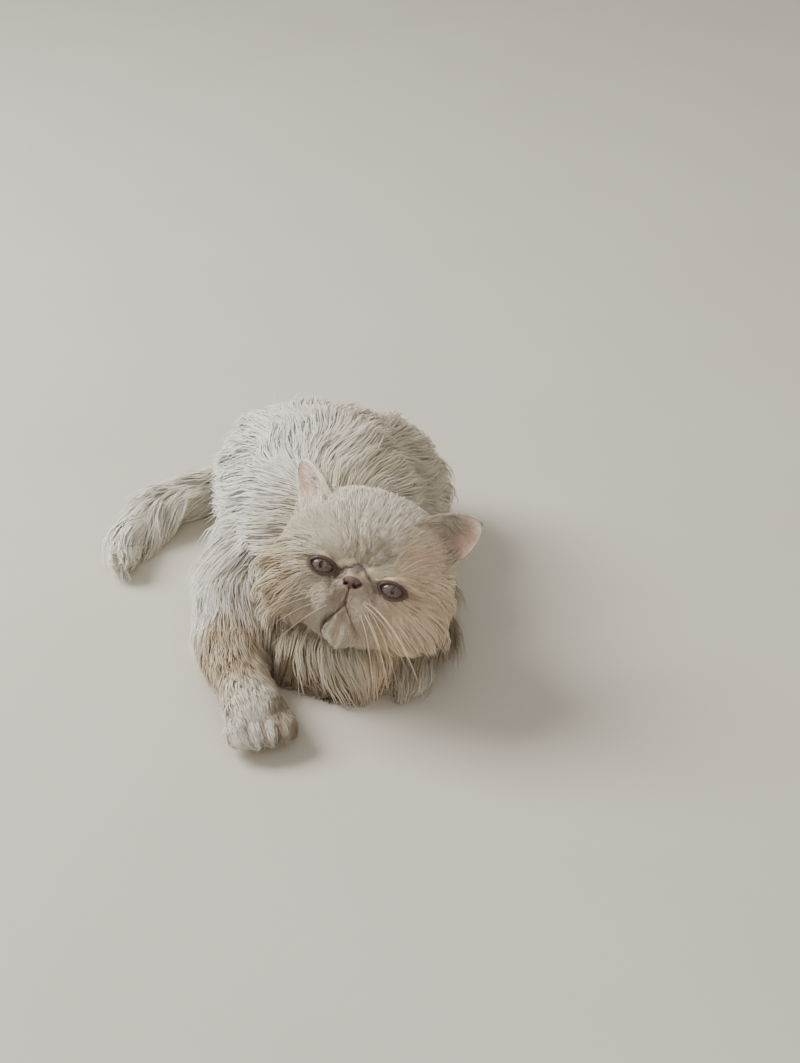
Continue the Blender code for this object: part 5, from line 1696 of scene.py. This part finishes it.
# %% One piece for each region, each kept under 200,000 triangles
MOST_TRIANGLES = 190000
dominant = tuft_part.argmax(axis=1)
beside = tuft_root - SHIFT
out_gap = distance_to_path(tuft_root, PATHS["foreleg_out"])[0]
tucked_gap = distance_to_path(tuft_root, PATHS["foreleg_tucked"])[0]
is_leg = (dominant == 3) | (dominant == 4)
is_hind = (dominant == 5) | (dominant == 6)
regions = {
    "head": (dominant == 0, "head"),
    "ruff": (dominant == 1, "neck"),
    "body": (dominant == 2, "torso"),
    "foreleg_right": (is_leg & (out_gap <= tucked_gap), "foreleg_out"),
    "foreleg_left": (is_leg & (out_gap > tucked_gap), "foreleg_tucked"),
    "hind_right": (is_hind & (beside[:, 0] < 0), "foot_right"),
    "hind_left": (is_hind & (beside[:, 0] >= 0), "foot_left"),
    "tail": (dominant == 7, "tail"),
}
coat_total = 0
triangles_of = 6 * (tuft_stations - 2) + 4
for region, (mask, unwrap_name) in regions.items():
    members = np.flatnonzero(mask)
    if not len(members):
        continue
    needed = triangles_of[members].sum()
    coat_total += needed
    parts = int(math.ceil(needed / MOST_TRIANGLES))
    for k in range(parts):
        name = f"coat_{region}" + (f"_{k + 1}" if parts > 1 else "")
        coat_piece(name, grow(members[k::parts], unwrap_name), hair_material)
print("coat:", coat_total, "triangles")

# %% [markdown]
# ## Hair of the ears
#
# The back of an ear wears short velvet, its edge a pale fringe, and from its front edge long fine
# hairs cross the cup. All of it can be written in the ear leaf's own two parameters: a hair that
# moves up and across the leaf while it rises off it is a path in three numbers.

# %% Velvet, fringe and the long hairs of the cup
EAR_WHOLE = EAR_LENGTH + EAR_SUNK


def ear_hairs(side, up, across, climb, drift, lift, arch, half_width, tint, stations, root_dark=0.88, off=0.0):
    """Path s -> leaf(up + climb s, across + drift s), off the leaf by lift(1-(1-s)^2) + arch sin(pi s)."""
    s = np.linspace(0, 1, stations)[None]
    climb = np.minimum(climb, 1.03 - up)
    rise = lift[:, None] * (1 - (1 - s) ** 2) + arch[:, None] * np.sin(math.pi * np.minimum(s, 0.9))
    rise = rise + np.where(lift < 0, -0.0005, 0.0005)[:, None] + off * (1 - s)
    paths = ear_points(side, up[:, None] + climb[:, None] * s, across[:, None] + drift[:, None] * s, rise)
    base = ear_points(side, up, across, np.zeros(len(up)))
    facing = unit(paths[:, 1] - base + 1e-7) + unit(random.normal(0, 0.3, (len(up), 3)))
    # Roots painted darker than tips by root_dark: painted shade deep in the hair
    depth = root_dark + (1.02 - root_dark) * s[..., None]
    colors = np.clip(tint[:, None] * depth * random.normal(1, 0.04, len(up))[:, None, None], 0.01, 0.93)
    half = 0.25 * (1 + side) + 0.004
    unwrap = np.stack([half + 0.49 * (across * 0.5 + 0.5), 0.01 + 0.97 * np.clip(up, 0, 1)], axis=1)
    way_up = unit(ear_points(side, 1.0, 0.0) - ear_points(side, 0.0, 0.0)) + (0, -0.3, 0.6)
    soft_way = unit(unit(paths[:, 1] - base + 1e-7) + way_up)
    return slivers(paths, half_width, unit(facing), colors, unwrap, soft_way)


def spread(low, high, count):
    return random.uniform(low, high, count)


ear_groups = []
for side in (-1, 1):
    tone = 0.94 * CROWN if side < 0 else 0.5 * (CROWN + WARM)
    count = 1250  # velvet on the back
    up, across = spread(0.10, 0.97, count), spread(-1, 1, count)
    ear_groups.append(
        ear_hairs(
            side, up, across, spread(0.09, 0.19, count), spread(-0.10, 0.10, count),
            -spread(0.0008, 0.0024, count), np.zeros(count), spread(0.00016, 0.00026, count),
            np.repeat(tone[None], count, axis=0), 3,
        )
    )
    count = 850  # fringe round the edge
    up = spread(0.16, 1.0, count)
    edge = random.choice([-1.0, 1.0], count)
    across = edge * spread(0.90, 1.0, count)
    ear_groups.append(
        ear_hairs(
            side, up, across, spread(0.04, 0.14, count), edge * spread(0.02, 0.22, count),
            random.normal(0, 0.0010, count), np.zeros(count), spread(0.00012, 0.00022, count),
            np.repeat((0.96 * CROWN)[None], count, axis=0), 3, 0.8,
        )
    )
    count = 360  # long hairs from the front edge over the cup
    up = spread(0.22, 0.70, count)
    across = -side * spread(0.78, 0.98, count)
    ear_groups.append(
        ear_hairs(
            side, up, across, spread(0.02, 0.34, count), side * spread(0.35, 1.45, count),
            spread(0.0005, 0.0040, count), spread(0.0008, 0.0045, count), spread(0.00012, 0.00020, count),
            np.repeat(CROWN[None], count, axis=0), 4, 0.6,
        )
    )
    count = 420  # soft down at the bottom of the cup
    up, across = spread(0.08, 0.40, count), spread(-0.95, 0.95, count)
    shaded = 0.85 * bump(up, side * across, 0.26, 0.58, 0.09, 0.30)
    ear_groups.append(
        ear_hairs(
            side, up, across, spread(0.14, 0.34, count), spread(-0.3, 0.3, count),
            spread(0.0010, 0.0046, count), np.zeros(count), spread(0.00014, 0.00022, count),
            blend(np.repeat((0.5 * WARM + 0.5 * CROWN)[None], count, axis=0), TEAR_AND_SHADE_BROWN * 1.4, shaded), 4, 0.8,
        )
    )
    count = 420  # hair of the head in front of the cup, reaching over its edge
    up, across = spread(0.06, 0.30, count), spread(-0.9, 0.9, count)
    ear_groups.append(
        ear_hairs(
            side, up, across, spread(0.16, 0.36, count), spread(-0.25, 0.25, count),
            spread(0.0010, 0.0040, count), spread(0.0, 0.0015, count), spread(0.00014, 0.00022, count),
            np.repeat((0.45 * WARM + 0.5 * CROWN)[None], count, axis=0), 4, 0.85, 0.0085,
        )
    )
coat_piece("coat_ears", ear_groups, hair_material)

# %% [markdown]
# ## The crinkled brow
#
# Between and over its eyes the flat-faced cat wears short fur thrown into curls by the folds of the
# skin. Each curl here is a small bunch of tufts with one heading, one bend and one tone. A bunch
# follows a circular arc over the face and arches off it in the middle.

# %% Curls between the eyes
CURL_COUNT, CURL_TUFTS, CURL_STATIONS = 46, 18, 5
curl = np.repeat(np.arange(CURL_COUNT), CURL_TUFTS)
many = len(curl)
middle_x = random.uniform(-0.0110, 0.0120, CURL_COUNT)[curl]
middle_z = random.uniform(0.0050, 0.0190, CURL_COUNT)[curl]
heading = (math.pi / 2 - 18 * middle_x[:: CURL_TUFTS] * 2 + random.uniform(-0.6, 0.6, CURL_COUNT))[curl]
bend = (random.choice([-1, 1], CURL_COUNT) * random.uniform(0.3, 1.4, CURL_COUNT))[curl]
reach = random.uniform(0.0050, 0.0095, CURL_COUNT)[curl] * random.uniform(0.8, 1.1, many)
s = np.linspace(0, 1, CURL_STATIONS)[None]
angle = heading[:, None] + bend[:, None] * s
step_x = np.concatenate([np.zeros((many, 1)), np.cumsum(np.cos(angle[:, :-1]), axis=1)], axis=1)
step_z = np.concatenate([np.zeros((many, 1)), np.cumsum(np.sin(angle[:, :-1]), axis=1)], axis=1)
start_x = middle_x + random.normal(0, 0.0011, many)
start_z = middle_z + random.normal(0, 0.0009, many)
narrow = 1 - 0.5 * s
along_x = middle_x[:, None] + (start_x - middle_x)[:, None] * narrow + step_x * reach[:, None] / (CURL_STATIONS - 1)
along_z = middle_z[:, None] + (start_z - middle_z)[:, None] * narrow + step_z * reach[:, None] / (CURL_STATIONS - 1)
along_z = np.maximum(along_z, 0.0048)
ground = on_head(along_x.ravel(), along_z.ravel()).reshape(many, CURL_STATIONS, 3)
off_skin = (0.0004 + 0.0023 * np.sin(math.pi * 0.82 * s) * random.uniform(0.7, 1.1, many)[:, None])[..., None]
curl_paths = from_head(ground + unit(ground) * off_skin)
curl_way = unit(from_head(ground[:, 0] * 2) - from_head(ground[:, 0]))
tones = np.stack([YELLOWISH, CROWN * 0.9, CREAM * 0.92, CREAM * 0.84, YELLOWISH * 0.88])
curl_tone = (tones[random.integers(0, len(tones), CURL_COUNT)] * random.normal(1, 0.05, (CURL_COUNT, 1)))[curl]
# Roots of the curls painted darker: painted shade between the curls
curl_colors = np.clip(curl_tone[:, None] * (0.55 + 0.47 * s[..., None]), 0.01, 0.9)
curl_unwrap = region_unwrap(curl_paths[:, 0], "head")
curl_width = random.uniform(0.00011, 0.00019, many)
curls = slivers(curl_paths, curl_width, curl_way, curl_colors, curl_unwrap, curl_way)
coat_piece("coat_brow", [curls], hair_material)

# %% [markdown]
# ## Floor, light and camera
#
# A pale matt floor, one large soft window of light from the upper left, and a weaker one opposite
# that opens the shade. The camera looks down at the cat from standing height a metre away.

# %% Stage
CAMERA_PLACE = np.array([0.047, -1.037, 0.700]) + SHIFT
CAMERA_DOWN = 31.45


floor = new_piece("floor", new_mesh("floor", [(-6, -6, 0), (6, -6, 0), (6, 6, 0), (-6, 6, 0)], [(0, 1, 2, 3)]))
floor.data.materials.append(mottled_material("pale_floor", (0.492, 0.466, 0.408), (0.506, 0.479, 0.421), 0.80, 6.0))


def soft_light(name, place, size, power, color):
    """An area light that faces the cat's middle."""
    light = bpy.data.lights.new(name, "AREA")
    light.shape = "DISK"
    light.size = size
    light.energy = power
    light.color = color
    lamp = bpy.data.objects.new(name, light)
    lamp.location = place
    lamp.rotation_euler = (Vector((0.02, 0.0, 0.05)) - Vector(place)).to_track_quat("-Z", "Y").to_euler()
    bpy.context.scene.collection.objects.link(lamp)


soft_light("key", (-1.5, 0.40, 1.45), 1.3, 86, (1.0, 0.985, 0.94))
soft_light("fill", (0.4, -1.9, 1.5), 2.0, 21, (1.0, 0.945, 0.87))
world = bpy.data.worlds.new("soft_room")
world.use_nodes = True
world.node_tree.nodes["Background"].inputs["Color"].default_value = (1.0, 0.955, 0.885, 1)
world.node_tree.nodes["Background"].inputs["Strength"].default_value = 0.58
bpy.context.scene.world = world

camera_data = bpy.data.cameras.new("camera")
camera_data.sensor_fit = "VERTICAL"
camera_data.sensor_height = 36
camera_data.lens = 60.96
camera_data.clip_start = 0.01
camera = bpy.data.objects.new("camera", camera_data)
camera.location = CAMERA_PLACE
camera.rotation_euler = (math.radians(90 - CAMERA_DOWN), 0, 0)
bpy.context.scene.collection.objects.link(camera)
bpy.context.scene.camera = camera
print("camera:", [round(c, 3) for c in camera.location])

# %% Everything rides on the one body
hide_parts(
    "head", "neck", "torso", "front_leg_left", "front_leg_right",
    "hind_leg_left", "hind_leg_right", "tail_base", "tail_middle", "tail_tip",
)
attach(skin, "root")
